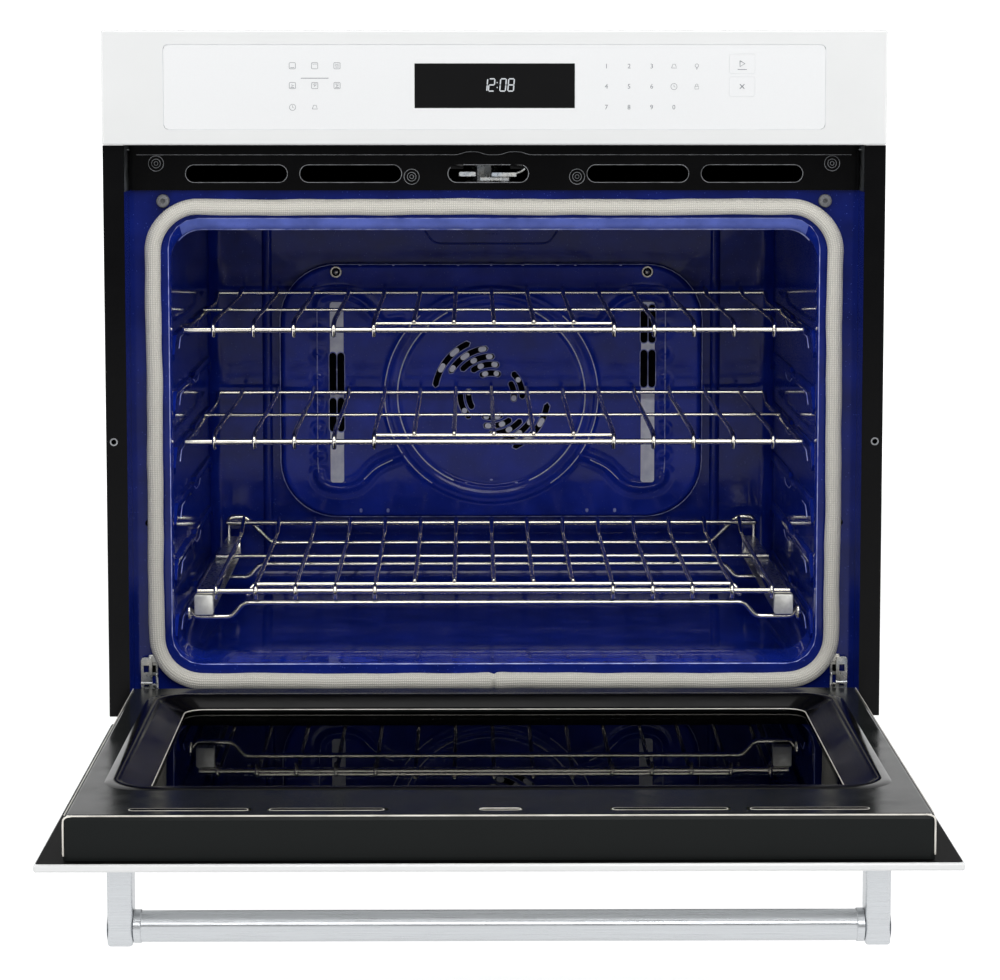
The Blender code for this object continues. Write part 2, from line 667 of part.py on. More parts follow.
def rear_baffle():
    """Pressed cover over the fan, with intake slots at its middle and outlets at its sides."""
    low = CAVITY_FLOOR + BAFFLE_LOW
    face = CAVITY_BACK - BAFFLE_PROUD
    half = BAFFLE_WIDTH / 2
    baffle = block(
        "rear_baffle",
        (-half, face, low), (half, CAVITY_BACK - SEAT_GAP, low + BAFFLE_HEIGHT),
        BLUE_ENAMEL, round_axis=1, radius=BAFFLE_CORNER, segments=4,
    )
    hollow = block(
        "baffle_hollow",
        (SHEET - half, face + SHEET, low + SHEET),
        (half - SHEET, CAVITY_BACK + CUT, low + BAFFLE_HEIGHT - SHEET),
        round_axis=1, radius=BAFFLE_CORNER - SHEET, segments=4,
    )
    cut(baffle, hollow)
    for side, sign in SIDES:
        x, reach = sign * OUTLET_X, OUTLET_WIDTH / 2
        outlet = block(
            "outlet_" + side,
            (x - reach, face - CUT, FAN_Z + OUTLET_SPAN[0]), (x + reach, face + CUT, FAN_Z + OUTLET_SPAN[1]),
        )
        cut(baffle, outlet)
    length, width = INTAKE_SLOT
    for i in range(INTAKE_SLOTS):
        angle = 2 * math.pi * i / INTAKE_SLOTS
        slot = block(
            f"intake_slot_{i}", (-length / 2, face - CUT, -width / 2), (length / 2, face + CUT, width / 2)
        )
        slot.location.x = INTAKE_REACH * math.cos(angle)
        slot.location.z = FAN_Z + INTAKE_REACH * math.sin(angle)
        slot.rotation_euler.y = -angle
        cut(baffle, slot)


def insulation():
    half = CAVITY_WIDTH / 2 + SHEET + SEAT_GAP
    low = CAVITY_FLOOR - SHEET - SEAT_GAP - BAKE_BAY
    high = CAVITY_TOP + SHEET + SEAT_GAP
    outer = min(half + INSULATION, INNER_HALF - SEAT_GAP)
    front = CAVITY_MOUTH + BLANKET_FRONT
    inner_back = CAVITY_BACK + SHEET + SEAT_GAP
    blanket = block(
        "insulation_blanket",
        (-outer, front, low - INSULATION), (outer, inner_back + INSULATION, INSULATION_TOP), WOOL,
    )
    room = block("blanket_room", (-half, front - CUT, low), (half, inner_back, high))
    well = rod(
        "blanket_well", (0, inner_back + INSULATION / 2, FAN_Z),
        WELL_RADIUS + SHEET + SEAT_GAP, INSULATION + 2 * CUT, 1, sides=24,
    )
    lamp = rod(
        "blanket_lamp", (LAMP[0], LAMP[1], high + INSULATION / 2),
        LAMP_RADIUS + BLANKET_LAMP_GAP, INSULATION + CUT, 2,
    )
    cut(blanket, room, well, lamp)


# Front trims and seals -----------------------------------------------------------------------------


def side_trims():
    """Black flanges that lap the cabinet, each with a return that meets the chassis side."""
    half = OVEN_WIDTH / 2
    top = PANEL_BOTTOM - SEAT_GAP
    for side, sign in SIDES:
        inner, outer = sorted((sign * (half - TRIM_WIDTH), sign * half))
        trim = block("side_trim_" + side, (inner, TRIM_FACE, TRIM_BOTTOM), (outer, TRIM_BACK, top), BLACK_ENAMEL)
        inner, outer = sorted((sign * SIDE_INNER, sign * SIDE_OUTER))
        leg = block(
            "trim_return_" + side,
            (inner, TRIM_FACE + SHEET / 2, TRIM_BOTTOM), (outer, TRIM_RETURN_END, top - SEAT_GAP),
        )
        join(trim, leg)
        hole_x = sign * (half - TRIM_HOLE_INSET)
        hole = rod(
            "trim_hole_" + side, (hole_x, TRIM_FACE, TRIM_HOLE_HEIGHT), TRIM_HOLE_RADIUS, CUT, 1, sides=12
        )
        cut(trim, hole)


def lower_trim():
    """Bottom trim: a flange on the cabinet face, a shelf back under the door's edge, and a riser."""
    half = OVEN_WIDTH / 2
    top = TRIM_BOTTOM - 2 * SEAT_GAP
    trim = block("lower_trim", (-half, TRIM_FACE, 0), (half, TRIM_BACK, LOWER_TRIM_STEP), BLACK_ENAMEL)
    shelf = block(
        "lower_trim_shelf",
        (-INNER_HALF, TRIM_FACE, LOWER_TRIM_STEP - SHEET), (INNER_HALF, TRIM_RETURN_END, LOWER_TRIM_STEP),
    )
    riser = block(
        "lower_trim_riser",
        (-INNER_HALF, LOWER_TRIM_RISER, LOWER_TRIM_STEP - SHEET), (INNER_HALF, TRIM_RETURN_END, top),
    )
    join(trim, shelf, riser)
    for side, sign in SIDES:
        x = sign * HINGE_X
        reach = FORK_WIDTH / 2 + HINGE_NOTCH[0]
        notch = block(
            "hinge_notch_" + side,
            (x - reach, LOWER_TRIM_RISER - CUT, PIVOT_Z - EYE_RADIUS - HINGE_NOTCH[1]),
            (x + reach, TRIM_RETURN_END + CUT, top + CUT),
        )
        cut(trim, notch)


def vent_trim():
    top = PANEL_BOTTOM - SEAT_GAP
    half = RECESS_HALF - VENT_TRIM_SIDE_GAP
    trim = block(
        "vent_trim",
        (-half, VENT_TRIM_FACE, VENT_TRIM_BOTTOM), (half, VENT_TRIM_FACE + SHEET, top), BLACK_ENAMEL,
    )
    length, height = VENT_SLOT
    low, high = VENT_SLOT_CENTRE_Z - height / 2, VENT_SLOT_CENTRE_Z + height / 2
    spans = [LATCH_SLOT]
    for centre in VENT_SLOT_CENTRES:
        spans += [(s * centre - length / 2, s * centre + length / 2) for s in (-1, 1)]
    for i, (left, right) in enumerate(spans):
        slot = block(
            f"vent_slot_{i}",
            (left, VENT_TRIM_FACE - CUT, low), (right, VENT_TRIM_FACE + CUT, high),
            round_axis=1, radius=0.4 * height, segments=2,
        )
        cut(trim, slot)


def door_gasket():
    """Woven tube round the cavity's mouth, clipped to the frame."""
    half = CAVITY_WIDTH / 2 + GASKET_SIDE
    depth = FRAME_FACE - SEAT_GAP - GASKET_RADIUS
    loop = rounded_loop(half, CAVITY_FLOOR - GASKET_BELOW, CAVITY_TOP + GASKET_ABOVE, GASKET_CORNER, 5)
    mesh = wire([(x, depth, z) for x, z in loop], GASKET_RADIUS, closed=True, sides=3)
    mesh.shade_smooth()
    put(bpy.data.objects.new("door_gasket", mesh), GLASS_FIBRE, None)


def bumpers():
    length = FRAME_FACE - SEAT_GAP - LINER_BACK - RUN_GAP
    depth = FRAME_FACE - SEAT_GAP - length / 2
    for side, sign in SIDES:
        centre = (sign * (CAVITY_WIDTH / 2 + BUMPER_SIDE), depth, CAVITY_TOP + BUMPER_RISE)
        rod("bumper_" + side, centre, BUMPER_RADIUS, length, 1, SILICONE)


# Controls ------------------------------------------------------------------------------------------


def control_panel():
    """White fascia with a rim behind it that meets the chassis, and a seat for the touch glass."""
    half = OVEN_WIDTH / 2
    slab_back = TRIM_BACK - RUN_GAP / 2
    panel = block("control_panel", (-half, 0, PANEL_BOTTOM), (half, slab_back, OVEN_HEIGHT), WHITE_ENAMEL)
    soften(panel, EDGE_ROUND)
    rim = block(
        "panel_rim",
        (-SIDE_OUTER, slab_back - RIM_LAP, PANEL_BOTTOM + SEAT_GAP),
        (SIDE_OUTER, TRIM_RETURN_END, CHASSIS_TOP),
    )
    room = block(
        "panel_room",
        (SHEET - SIDE_OUTER, slab_back, PANEL_BOTTOM + SEAT_GAP + SHEET),
        (SIDE_OUTER - SHEET, TRIM_RETURN_END + CUT, CHASSIS_TOP - SHEET),
    )
    glass_half, glass_height = GLASS_PANEL[0] / 2, GLASS_PANEL[1]
    low = PANEL_BOTTOM + GLASS_PANEL_LOW
    seat = block(
        "glass_seat",
        (-glass_half, -CUT, low), (glass_half, GLASS_RECESS + GLASS + SEAT_GAP, low + glass_height),
        round_axis=1, radius=GLASS_PANEL_CORNER, segments=2,
    )
    reach, margin = SENSOR_WINDOW
    window = block("sensor_window", (-reach, 0, low + margin), (reach, 2 * CUT, low + glass_height - margin))
    join(panel, rim)
    cut(panel, room, seat, window)


def touch_glass():
    low = PANEL_BOTTOM + GLASS_PANEL_LOW + SEAT_GAP
    half = GLASS_PANEL[0] / 2 - SEAT_GAP
    glass = block(
        "touch_glass",
        (-half, GLASS_RECESS, low), (half, GLASS_RECESS + GLASS, low + GLASS_PANEL[1] - 2 * SEAT_GAP),
        WHITE_GLASS, round_axis=1, radius=GLASS_PANEL_CORNER, segments=2,
    )
    half, low = DISPLAY[0] / 2, PANEL_BOTTOM + DISPLAY_LOW
    opening = block("display_opening", (-half, -CUT, low), (half, CUT, low + DISPLAY[1]))
    cut(glass, opening)
    block(
        "display_lens",
        (SEAT_GAP - half, LENS_RECESS, low + SEAT_GAP),
        (half - SEAT_GAP, GLASS_RECESS + GLASS, low + DISPLAY[1] - SEAT_GAP),
        BLACK_GLASS,
    )


def control_board():
    """Display and touch board behind the glass."""
    mid = PANEL_BOTTOM + GLASS_PANEL_LOW + GLASS_PANEL[1] / 2
    glass_back = GLASS_RECESS + GLASS + SEAT_GAP
    face = glass_back + BOARD_STANDOFF
    half, rise = BOARD_HALF
    board = block("control_board", (-half, face, mid - rise), (half, face + BOARD_THICKNESS, mid + rise), BOARD)
    half, rise = DISPLAY[0] / 2, DISPLAY_MODULE_HALF
    module = block("display_module", (-half, glass_back, mid - rise), (half, face + RUN_GAP, mid + rise))
    (left, right), (low, high), back = CONTROL_PARTS
    parts = block("board_parts", (left, face + RUN_GAP, mid + low), (right, face + back, mid + high))
    join(board, module, parts)


def relay_board():
    """Power board on feet, on the bay floor."""
    (left, right), (front, back) = RELAY_BOARD
    low = BAY_FLOOR_TOP + SEAT_GAP
    under = low + RELAY_STANDOFF
    top = under + BOARD_THICKNESS
    board = block("relay_board", (left, front, under), (right, back, top), BOARD)
    inset, half = RELAY_FOOT
    corners = [(x, depth) for x in (left + inset, right - inset) for depth in (front + inset, back - inset)]
    for i, (x, depth) in enumerate(corners):
        foot = block(f"board_foot_{i}", (x - half, depth - half, low), (x + half, depth + half, under + RUN_GAP))
        join(board, foot)
    start, depth = RELAY_START
    width, length, height = RELAY
    for i in range(RELAYS):
        x = start + RELAY_PITCH * i
        relay = block(f"relay_{i}", (x, depth, top - RUN_GAP), (x + width, depth + length, top + height))
        join(board, relay)


# Heating and air -----------------------------------------------------------------------------------


def broil_element():
    """Serpentine heater under the ceiling, on a plate at the back wall."""
    half = BROIL_WIDTH / 2
    front, back = BROIL_FRONT, CAVITY_BACK - BROIL_REAR
    step = BROIL_WIDTH / (BROIL_RUNS - 1)
    terminal = CAVITY_BACK - BROIL_PLATE[2] / 2
    points = []
    for i in range(BROIL_RUNS):
        x = i * step - half
        near, far = (back, front) if i % 2 == 0 else (front, back)
        toward = math.copysign(BROIL_TURN, far - near)
        start = terminal if i == 0 else near + toward
        end = terminal if i == BROIL_RUNS - 1 else far - toward
        points += [(x, start, BROIL_Z), (x, end, BROIL_Z)]
        if i < BROIL_RUNS - 1:
            points += [(x + BROIL_TURN, far, BROIL_Z), (x + step - BROIL_TURN, far, BROIL_Z)]
    reach, rise, thickness = BROIL_PLATE
    plates = [
        block(
            f"broil_plate_{side}",
            (sign * half - reach, CAVITY_BACK - thickness, BROIL_Z - rise),
            (sign * half + reach, CAVITY_BACK - SEAT_GAP, BROIL_Z + rise),
        )
        for side, sign in SIDES
    ]
    welded_wires("broil_element", [wire(points, ELEMENT_RADIUS, sides=2)], HEATER, plates)


def bake_element():
    """Hidden heater that lies in the bay under the cavity's floor."""
    z = CAVITY_FLOOR - SHEET - BAKE_BAY + ELEMENT_RADIUS
    half = CAVITY_WIDTH / 2 - BAKE_INSET
    front = BAKE_FRONT
    back, end = CAVITY_BACK - BAKE_REAR[0], CAVITY_BACK - BAKE_REAR[1]
    inner = BAKE_TERMINAL_X
    points = [
        (-inner, end, z), (-inner, back, z), (-half, back, z), (-half, front, z),
        (half, front, z), (half, back, z), (inner, back, z), (inner, end, z),
    ]
    mesh = wire(points, ELEMENT_RADIUS, sides=2)
    put(bpy.data.objects.new("bake_element", mesh), HEATER, None)


def convection_set():
    """Ring heater, fan and motor round one axis in the back wall."""
    well_back = CAVITY_BACK + WELL_DEPTH
    depth = CAVITY_BACK + RING_PROUD
    ring_radius = WELL_RADIUS - RING_GAP
    loop = [(x, depth, z) for x, z in arc(0, FAN_Z, ring_radius, 0, RING_ARC, 22)]
    foot_z = FAN_Z - ring_radius
    reach, lap, rise = RING_FOOT
    foot = block(
        "ring_foot", (-reach, depth - lap, foot_z - rise), (reach, well_back - SEAT_GAP, foot_z + rise)
    )
    welded_wires("convection_element", [wire(loop, ELEMENT_RADIUS, sides=1)], HEATER, [foot])
    spin = axis_empty("fan_axis", 0, CAVITY_BACK + FAN_SHAFT, FAN_Z)
    back = well_back - FAN_BACK_GAP
    fan = rod("convection_fan", (0, back - FAN_SHEET / 2, FAN_Z), FAN_RADIUS, FAN_SHEET, 1, ZINC, 24, spin)
    front = CAVITY_BACK - BAFFLE_PROUD + SHEET + FAN_FRONT_GAP
    hub_end = back - FAN_SHEET / 2
    hub = rod("fan_hub", (0, (front + hub_end) / 2, FAN_Z), FAN_HUB, hub_end - front, 1, None, 12, spin)
    join(fan, hub)
    inner, rim_gap, thickness = FAN_BLADE
    for i in range(FAN_BLADES):
        blade = block(
            f"fan_blade_{i}",
            (inner, front, FAN_Z - thickness / 2), (FAN_RADIUS - rim_gap, hub_end, FAN_Z + thickness / 2),
            parent=spin,
        )
        angle = 2 * math.pi * i / FAN_BLADES
        blade.matrix_local = Matrix.Rotation(angle, 4, "Y") @ Matrix.Translation(blade.location)
        join(fan, blade)
    shaft_front = back + SEAT_GAP
    body_front = well_back + SHEET + SEAT_GAP
    body_back = CHASSIS_BACK - CHASSIS_SHEET - SEAT_GAP
    body_length = body_back - body_front
    motor = rod("fan_motor", (0, body_front + body_length / 2, FAN_Z), MOTOR_RADIUS, body_length, 1, MOTOR, 20)
    shaft_end = body_front + FAN_SHAFT / 2
    shaft = rod(
        "motor_shaft", (0, (shaft_front + shaft_end) / 2, FAN_Z), FAN_SHAFT, shaft_end - shaft_front, 1, sides=12
    )
    join(motor, shaft)


def air_duct():
    """Flat duct that carries cooling air to the vent slots, split round the latch."""
    half = DUCT_WIDTH / 2
    front, back = VENT_TRIM_FACE + SHEET + SEAT_GAP, BLOWER_DEPTH + DUCT_TAIL
    bay_half, bay_back = LATCH_BAY
    duct = block("air_duct", (-half, front, DUCT_BOTTOM), (half, back, DUCT_TOP), GALVANISED)
    bay = block(
        "duct_latch_bay", (-bay_half, front - CUT, DUCT_BOTTOM - CUT), (bay_half, bay_back, DUCT_TOP + CUT)
    )
    room = block(
        "duct_room",
        (CHASSIS_SHEET - half, front - CUT, DUCT_BOTTOM + CHASSIS_SHEET),
        (half - CHASSIS_SHEET, back - CHASSIS_SHEET, DUCT_TOP - CHASSIS_SHEET),
    )
    wall = block(
        "duct_latch_wall",
        (-bay_half - CHASSIS_SHEET, front - 2 * CUT, DUCT_BOTTOM - CUT),
        (bay_half + CHASSIS_SHEET, bay_back + CHASSIS_SHEET, DUCT_TOP + CUT),
    )
    cut(room, wall)
    cut(duct, room, bay, blower_throat("duct_throat", DUCT_TOP))


def cooling_blower():
    """Crossflow blower: bladed drum, open housing and a motor on the housing's end."""
    half = BLOWER_LENGTH / 2
    reach = half - BLOWER_END_GAP
    spin = axis_empty("blower_axis", BLOWER_X, BLOWER_DEPTH, BLOWER_Z)
    wheel = rod(
        "blower_wheel", (BLOWER_X, BLOWER_DEPTH, BLOWER_Z), BLOWER_RADIUS - BLOWER_RIM, 2 * reach,
        0, ALUMINIUM, BLOWER_BLADES, spin,
    )
    for i in range(BLOWER_BLADES // 2):
        vane = block(
            f"blower_vane_{i}",
            (BLOWER_X - reach, BLOWER_DEPTH - BLOWER_VANE / 2, BLOWER_Z - BLOWER_RADIUS),
            (BLOWER_X + reach, BLOWER_DEPTH + BLOWER_VANE / 2, BLOWER_Z + BLOWER_RADIUS), parent=spin,
        )
        vane.rotation_euler.x = math.pi * i / (BLOWER_BLADES // 2)
        join(wheel, vane)
    low = BAY_FLOOR_TOP + SEAT_GAP
    end = half + RUN_GAP
    room = BLOWER_RADIUS + BLOWER_ROOM
    housing = block(
        "blower_housing",
        (BLOWER_X - end - SHEET, BLOWER_DEPTH - room - SHEET, low),
        (BLOWER_X + end + SHEET, BLOWER_DEPTH + room + SHEET, BLOWER_Z + room + SHEET),
        GALVANISED, round_axis=0, radius=BLOWER_CORNER, segments=2,
    )
    radius, length = BLOWER_MOTOR
    motor = rod("blower_motor", (BLOWER_X + end + length / 2, BLOWER_DEPTH, BLOWER_Z), radius, length, 0)
    join(housing, motor)
    inside = block(
        "blower_inside",
        (BLOWER_X - end, BLOWER_DEPTH - room, low + SHEET),
        (BLOWER_X + end, BLOWER_DEPTH + room, BLOWER_Z + room),
    )
    outlet = block(
        "blower_outlet",
        (BLOWER_X - end, BLOWER_DEPTH - BLOWER_RADIUS, low - CUT),
        (BLOWER_X + end, BLOWER_DEPTH, low + CUT),
    )
    intake = block(
        "blower_intake",
        (BLOWER_X - half, BLOWER_DEPTH + room - CUT, BLOWER_Z + BLOWER_INTAKE[0]),
        (BLOWER_X + half, BLOWER_DEPTH + room + CUT, BLOWER_Z + BLOWER_INTAKE[1]),
    )
    cut(housing, inside, outlet, intake)


def lamp():
    x, depth = LAMP
    top = CAVITY_TOP + SHEET + SEAT_GAP
    rod("lamp_housing", (x, depth, top + LAMP_HEIGHT / 2), LAMP_RADIUS + LAMP_WALL, LAMP_HEIGHT, 2, GALVANISED)
    lens = rod("lamp_lens", (x, depth, top - SEAT_GAP - LENS_DROP / 2), LAMP_RADIUS, LENS_DROP, 2, CLEAR_GLASS)
    dome = lens.modifiers.new("dome", "BEVEL")
    dome.width = LENS_DOME
    dome.segments = 2
    dome.limit_method = "ANGLE"
    dome.angle_limit = math.radians(60)


def temperature_probe():
    radius, thickness = PROBE_FLANGE
    back = CAVITY_BACK - SEAT_GAP
    depth = back - thickness / 2 - PROBE_LENGTH / 2
    probe = rod("temperature_probe", (PROBE_X, depth, BROIL_Z), PROBE_RADIUS, PROBE_LENGTH, 1, CHROME, 10)
    flange = rod("probe_flange", (PROBE_X, back - thickness / 2, BROIL_Z), radius, thickness, 1)
    join(probe, flange)


def junction_box():
    width, depth, height = JUNCTION_BOX
    back = CHASSIS_BACK - CHASSIS_SHEET - SEAT_GAP
    low = BAY_FLOOR_TOP + SEAT_GAP
    box = block(
        "junction_box",
        (JUNCTION_X - width / 2, back - depth, low), (JUNCTION_X + width / 2, back, low + height), GALVANISED,
    )
    room = block(
        "junction_room",
        (JUNCTION_X - width / 2 + SHEET, back - depth + SHEET, low + SHEET),
        (JUNCTION_X + width / 2 - SHEET, back - SHEET, low + height - SHEET),
    )
    knockout = rod("box_knockout", (JUNCTION_X, back, low + height / 2), KNOCKOUT_RADIUS, CUT, 1)
    cut(box, room, knockout)


# Latch ---------------------------------------------------------------------------------------------


def latch():
    """Motor-driven hook that swings through the vent trim into the shut door's top slot."""
    (left, right), back, thickness = LATCH_PLATE
    low = DUCT_BOTTOM
    base = block(
        "latch_base", (left, VENT_TRIM_FACE + SHEET + SEAT_GAP, low), (right, back, low + thickness), ZINC
    )
    half = LATCH_SHEET / 2
    collar_low, collar_top = low + thickness / 2, LATCH_Z - half - SEAT_GAP
    collar = rod(
        "latch_collar", (LATCH_X, LATCH_DEPTH, (collar_low + collar_top) / 2), LATCH_COLLAR,
        collar_top - collar_low, 2, sides=12,
    )
    pin = rod("latch_pin", (LATCH_X, LATCH_DEPTH, LATCH_Z), LATCH_PIN_RADIUS, LATCH_PIN_LENGTH, 2, sides=12)
    x, depth, radius, height = LATCH_MOTOR
    motor = rod("latch_motor", (x, depth, low + thickness / 2 + height / 2), radius, height, 2)
    join(base, collar, pin, motor)
    swing = axis_empty("latch_axis", LATCH_X, LATCH_DEPTH, LATCH_Z)
    hook = rod("latch_hook", (LATCH_X, LATCH_DEPTH, LATCH_Z), LATCH_BOSS, LATCH_SHEET, 2, ZINC, 16, swing)
    tip = LATCH_X - LATCH_REACH
    arm = block(
        "latch_arm",
        (tip, LATCH_DEPTH - LATCH_ARM[0], LATCH_Z - half), (LATCH_X, LATCH_DEPTH + LATCH_ARM[1], LATCH_Z + half),
        parent=swing,
    )
    barb = block(
        "latch_barb",
        (tip, LATCH_DEPTH - LATCH_BARB[0], LATCH_Z - half), (tip + LATCH_BARB[1], LATCH_DEPTH, LATCH_Z + half),
        parent=swing,
    )
    bore = rod(
        "latch_bore", (LATCH_X, LATCH_DEPTH, LATCH_Z), LATCH_PIN_RADIUS + SEAT_GAP, 2 * CUT, 2, None, 12, swing
    )
    join(hook, arm, barb)
    cut(hook, bore)


# Racks ---------------------------------------------------------------------------------------------


def wire_offsets():
    first = -WIRE_PITCH * (WIRES - 1) / 2
    return [first + WIRE_PITCH * i for i in range(WIRES)]


def long_wires(z, back_rise, front, back):
    """Wires from front to back that lie on the cross bars and climb to the back bar."""
    lift = RACK_SIDE_WIRE + RACK_WIRE - WELD_DEPTH
    low, high = z + lift, z + back_rise + lift
    start, end = WIRE_BEND
    return [
        wire([(x, front, low), (x, back - start, low), (x, back - end, high), (x, back, high)], RACK_WIRE)
        for x in wire_offsets()
    ]


def rack(name, z):
    """Wire rack: a frame that rides on the guides, cross bars and long wires."""
    half, corner, bend = RACK_HALF, RACK_CORNER, RACK_BACK - RACK_BEND
    bar_depth, high = RACK_BACK - RACK_BAR_INSET, z + RACK_BACK_RISE
    frame = wire(
        [
            (-half, bar_depth, high), (-half, bend, z), (-half, RACK_FRONT + corner, z),
            (corner - half, RACK_FRONT, z), (half - corner, RACK_FRONT, z), (half, RACK_FRONT + corner, z),
            (half, bend, z), (half, bar_depth, high),
        ],
        RACK_SIDE_WIRE,
    )
    reach, depth = half + WIRE_LAP, bar_depth - WIRE_LAP
    back_bar = wire([(-reach, depth, high), (reach, depth, high)], RACK_SIDE_WIRE)
    middle = (RACK_FRONT + RACK_BACK) / 2
    cross = wire([(-half, middle, z), (half, middle, z)], RACK_SIDE_WIRE)
    wires = long_wires(z, RACK_BACK_RISE, RACK_FRONT - WIRE_LAP, bar_depth)
    welded_wires(name, [frame, back_bar, cross, *wires], CHROME)


def glide_base_frame(z):
    """Wire cradle of the roll-out rack: side wires on the guides and cross wires that carry the slides."""
    half = RACK_HALF
    front, back = RACK_FRONT + CRADLE_INSET, RACK_BACK - CRADLE_INSET
    wires = [
        wire([(s * half, front - CRADLE_SIDE_LAP, z), (s * half, back + CRADLE_SIDE_LAP, z)], RACK_SIDE_WIRE)
        for s in (-1, 1)
    ]
    low, high, inner = z - CRADLE_DROP, z + CRADLE_RISE, half - CRADLE_BEND
    side = [(half, z), (CRADLE_POST, z), (CRADLE_POST, low), (inner + CRADLE_CLIMB, low), (inner, high)]
    path = side + [(-x, h) for x, h in reversed(side)]
    for depth in (front, (front + back) / 2, back):
        wires.append(wire([(x, depth, h) for x, h in path], CRADLE_WIRE))
    welded_wires("glide_base_frame", wires, CHROME)


def slide_section(name, sign, outer, z_low, z_high, front, back):
    """A channel that opens inwards, between two heights, with its back at outer."""
    inner = outer - SLIDE_WIDTH + SLIDE_MOUTH
    low, high = sorted((sign * inner, sign * outer))
    channel = block(name, (low, front, z_low), (high, back, z_high), ZINC)
    low, high = sorted((sign * (inner - CUT), sign * (outer - SLIDE_SHEET)))
    room = block(
        name + "_room",
        (low, front - CUT, z_low + SLIDE_SHEET), (high, back + CUT, z_high - SLIDE_SHEET),
    )
    return cut(channel, room)


def glide_rack(z):
    """Roll-out rack: outer and middle channels each side, and a wire deck on the inner slide bars."""
    r, leg, weld = RACK_SIDE_WIRE, SLIDE_LEG, SLIDE_WELD
    low = z - CRADLE_DROP + CRADLE_WIRE + SEAT_GAP
    high = low + SLIDE_HEIGHT
    outer = CRADLE_POST - CRADLE_WIRE - RUN_GAP
    front, back = RACK_FRONT + SLIDE_INSET[0], RACK_BACK - SLIDE_INSET[1]
    deck_z = z + GLIDE_RISE
    step = SLIDE_SHEET + RUN_GAP
    bar_outer, bar_inner = outer - 2 * step, outer - SLIDE_WIDTH
    bar_low, bar_high = low + 2 * step, high - 2 * step
    bar_back = back - 2 * SLIDE_STAGGER
    # x, depth and height of the inner bar, its deck leg, its end cap and the cap's neck
    spans = (
        ((bar_inner + weld, bar_outer), (front + 2 * weld, bar_back), (bar_low, bar_high)),
        ((bar_inner, bar_inner + leg), (front + leg / 2, bar_back - 2 * weld), (bar_low + weld, deck_z + leg / 4)),
        ((bar_inner - weld, outer), (front - 2 * leg, front - leg), (low, high + 2 * weld)),
        ((bar_inner + 2 * weld, bar_inner + leg - weld), (front - 1.5 * leg, front + leg),
         (bar_low + 2 * weld, bar_high - weld)),
    )
    extras = []
    for side, sign in SIDES:
        slide_section("slide_outer_" + side, sign, outer, low, high, front, back)
        slide_section(
            "slide_middle_" + side, sign, outer - step, low + step, high - step, front, back - SLIDE_STAGGER
        )
        for i, (xs, depths, zs) in enumerate(spans):
            x_low, x_high = sorted((sign * xs[0], sign * xs[1]))
            extras.append(
                block(f"slide_inner_{side}_{i}", (x_low, depths[0], zs[0]), (x_high, depths[1], zs[1]))
            )
    reach = bar_inner + leg / 2
    bar_front, bar_rear = RACK_FRONT + GLIDE_BAR_INSET[0], RACK_BACK - GLIDE_BAR_INSET[1]
    high = deck_z + GLIDE_BACK_RISE
    bars = [
        wire([(-reach, depth, h), (reach, depth, h)], r)
        for depth, h in ((bar_front, deck_z), ((bar_front + RACK_BACK) / 2, deck_z), (bar_rear, high))
    ]
    posts = [
        wire([(s * reach, bar_rear - r / 2, deck_z - r / 2), (s * reach, bar_rear, high + r / 3)], r)
        for s in (-1, 1)
    ]
    wires = long_wires(deck_z, GLIDE_BACK_RISE, bar_front - WIRE_LAP, bar_rear + WIRE_LAP)
    welded_wires("glide_rack", [*bars, *posts, *wires], CHROME, extras)


# Door ----------------------------------------------------------------------------------------------


def door_skin(hang):
    """Painted outer pan, turned in at the back round the liner, with the window's opening."""
    half = OVEN_WIDTH / 2
    skin = block(
        "door_skin", (-half, DOOR_OUTER, DOOR_BOTTOM), (half, SKIN_BACK, DOOR_TOP), WHITE_ENAMEL, parent=hang
    )
    soften(skin, EDGE_ROUND)
    pan = block(
        "skin_pan",
        (SHEET - half, DOOR_OUTER + SHEET, DOOR_BOTTOM + SHEET),
        (half - SHEET, SKIN_BACK - SHEET, DOOR_TOP - SHEET), parent=hang,
    )
    lip = LINER_HALF - SHEET
    back = block(
        "skin_back",
        (-lip, SKIN_BACK - SKIN_FLANGE, LINER_BOTTOM + SHEET), (lip, SKIN_BACK + CUT, LINER_TOP - SHEET),
        parent=hang,
    )
    sight = WINDOW_WIDTH / 2 - SIGHT_MARGIN[0]
    window = block(
        "skin_window",
        (-sight, DOOR_OUTER - CUT, WINDOW_BOTTOM + SIGHT_MARGIN[1]),
        (sight, DOOR_OUTER + 2 * SHEET, WINDOW_TOP - SIGHT_MARGIN[1]),
        round_axis=1, radius=SIGHT_CORNER, segments=2, parent=hang,
    )
    cut(skin, pan, back, window)


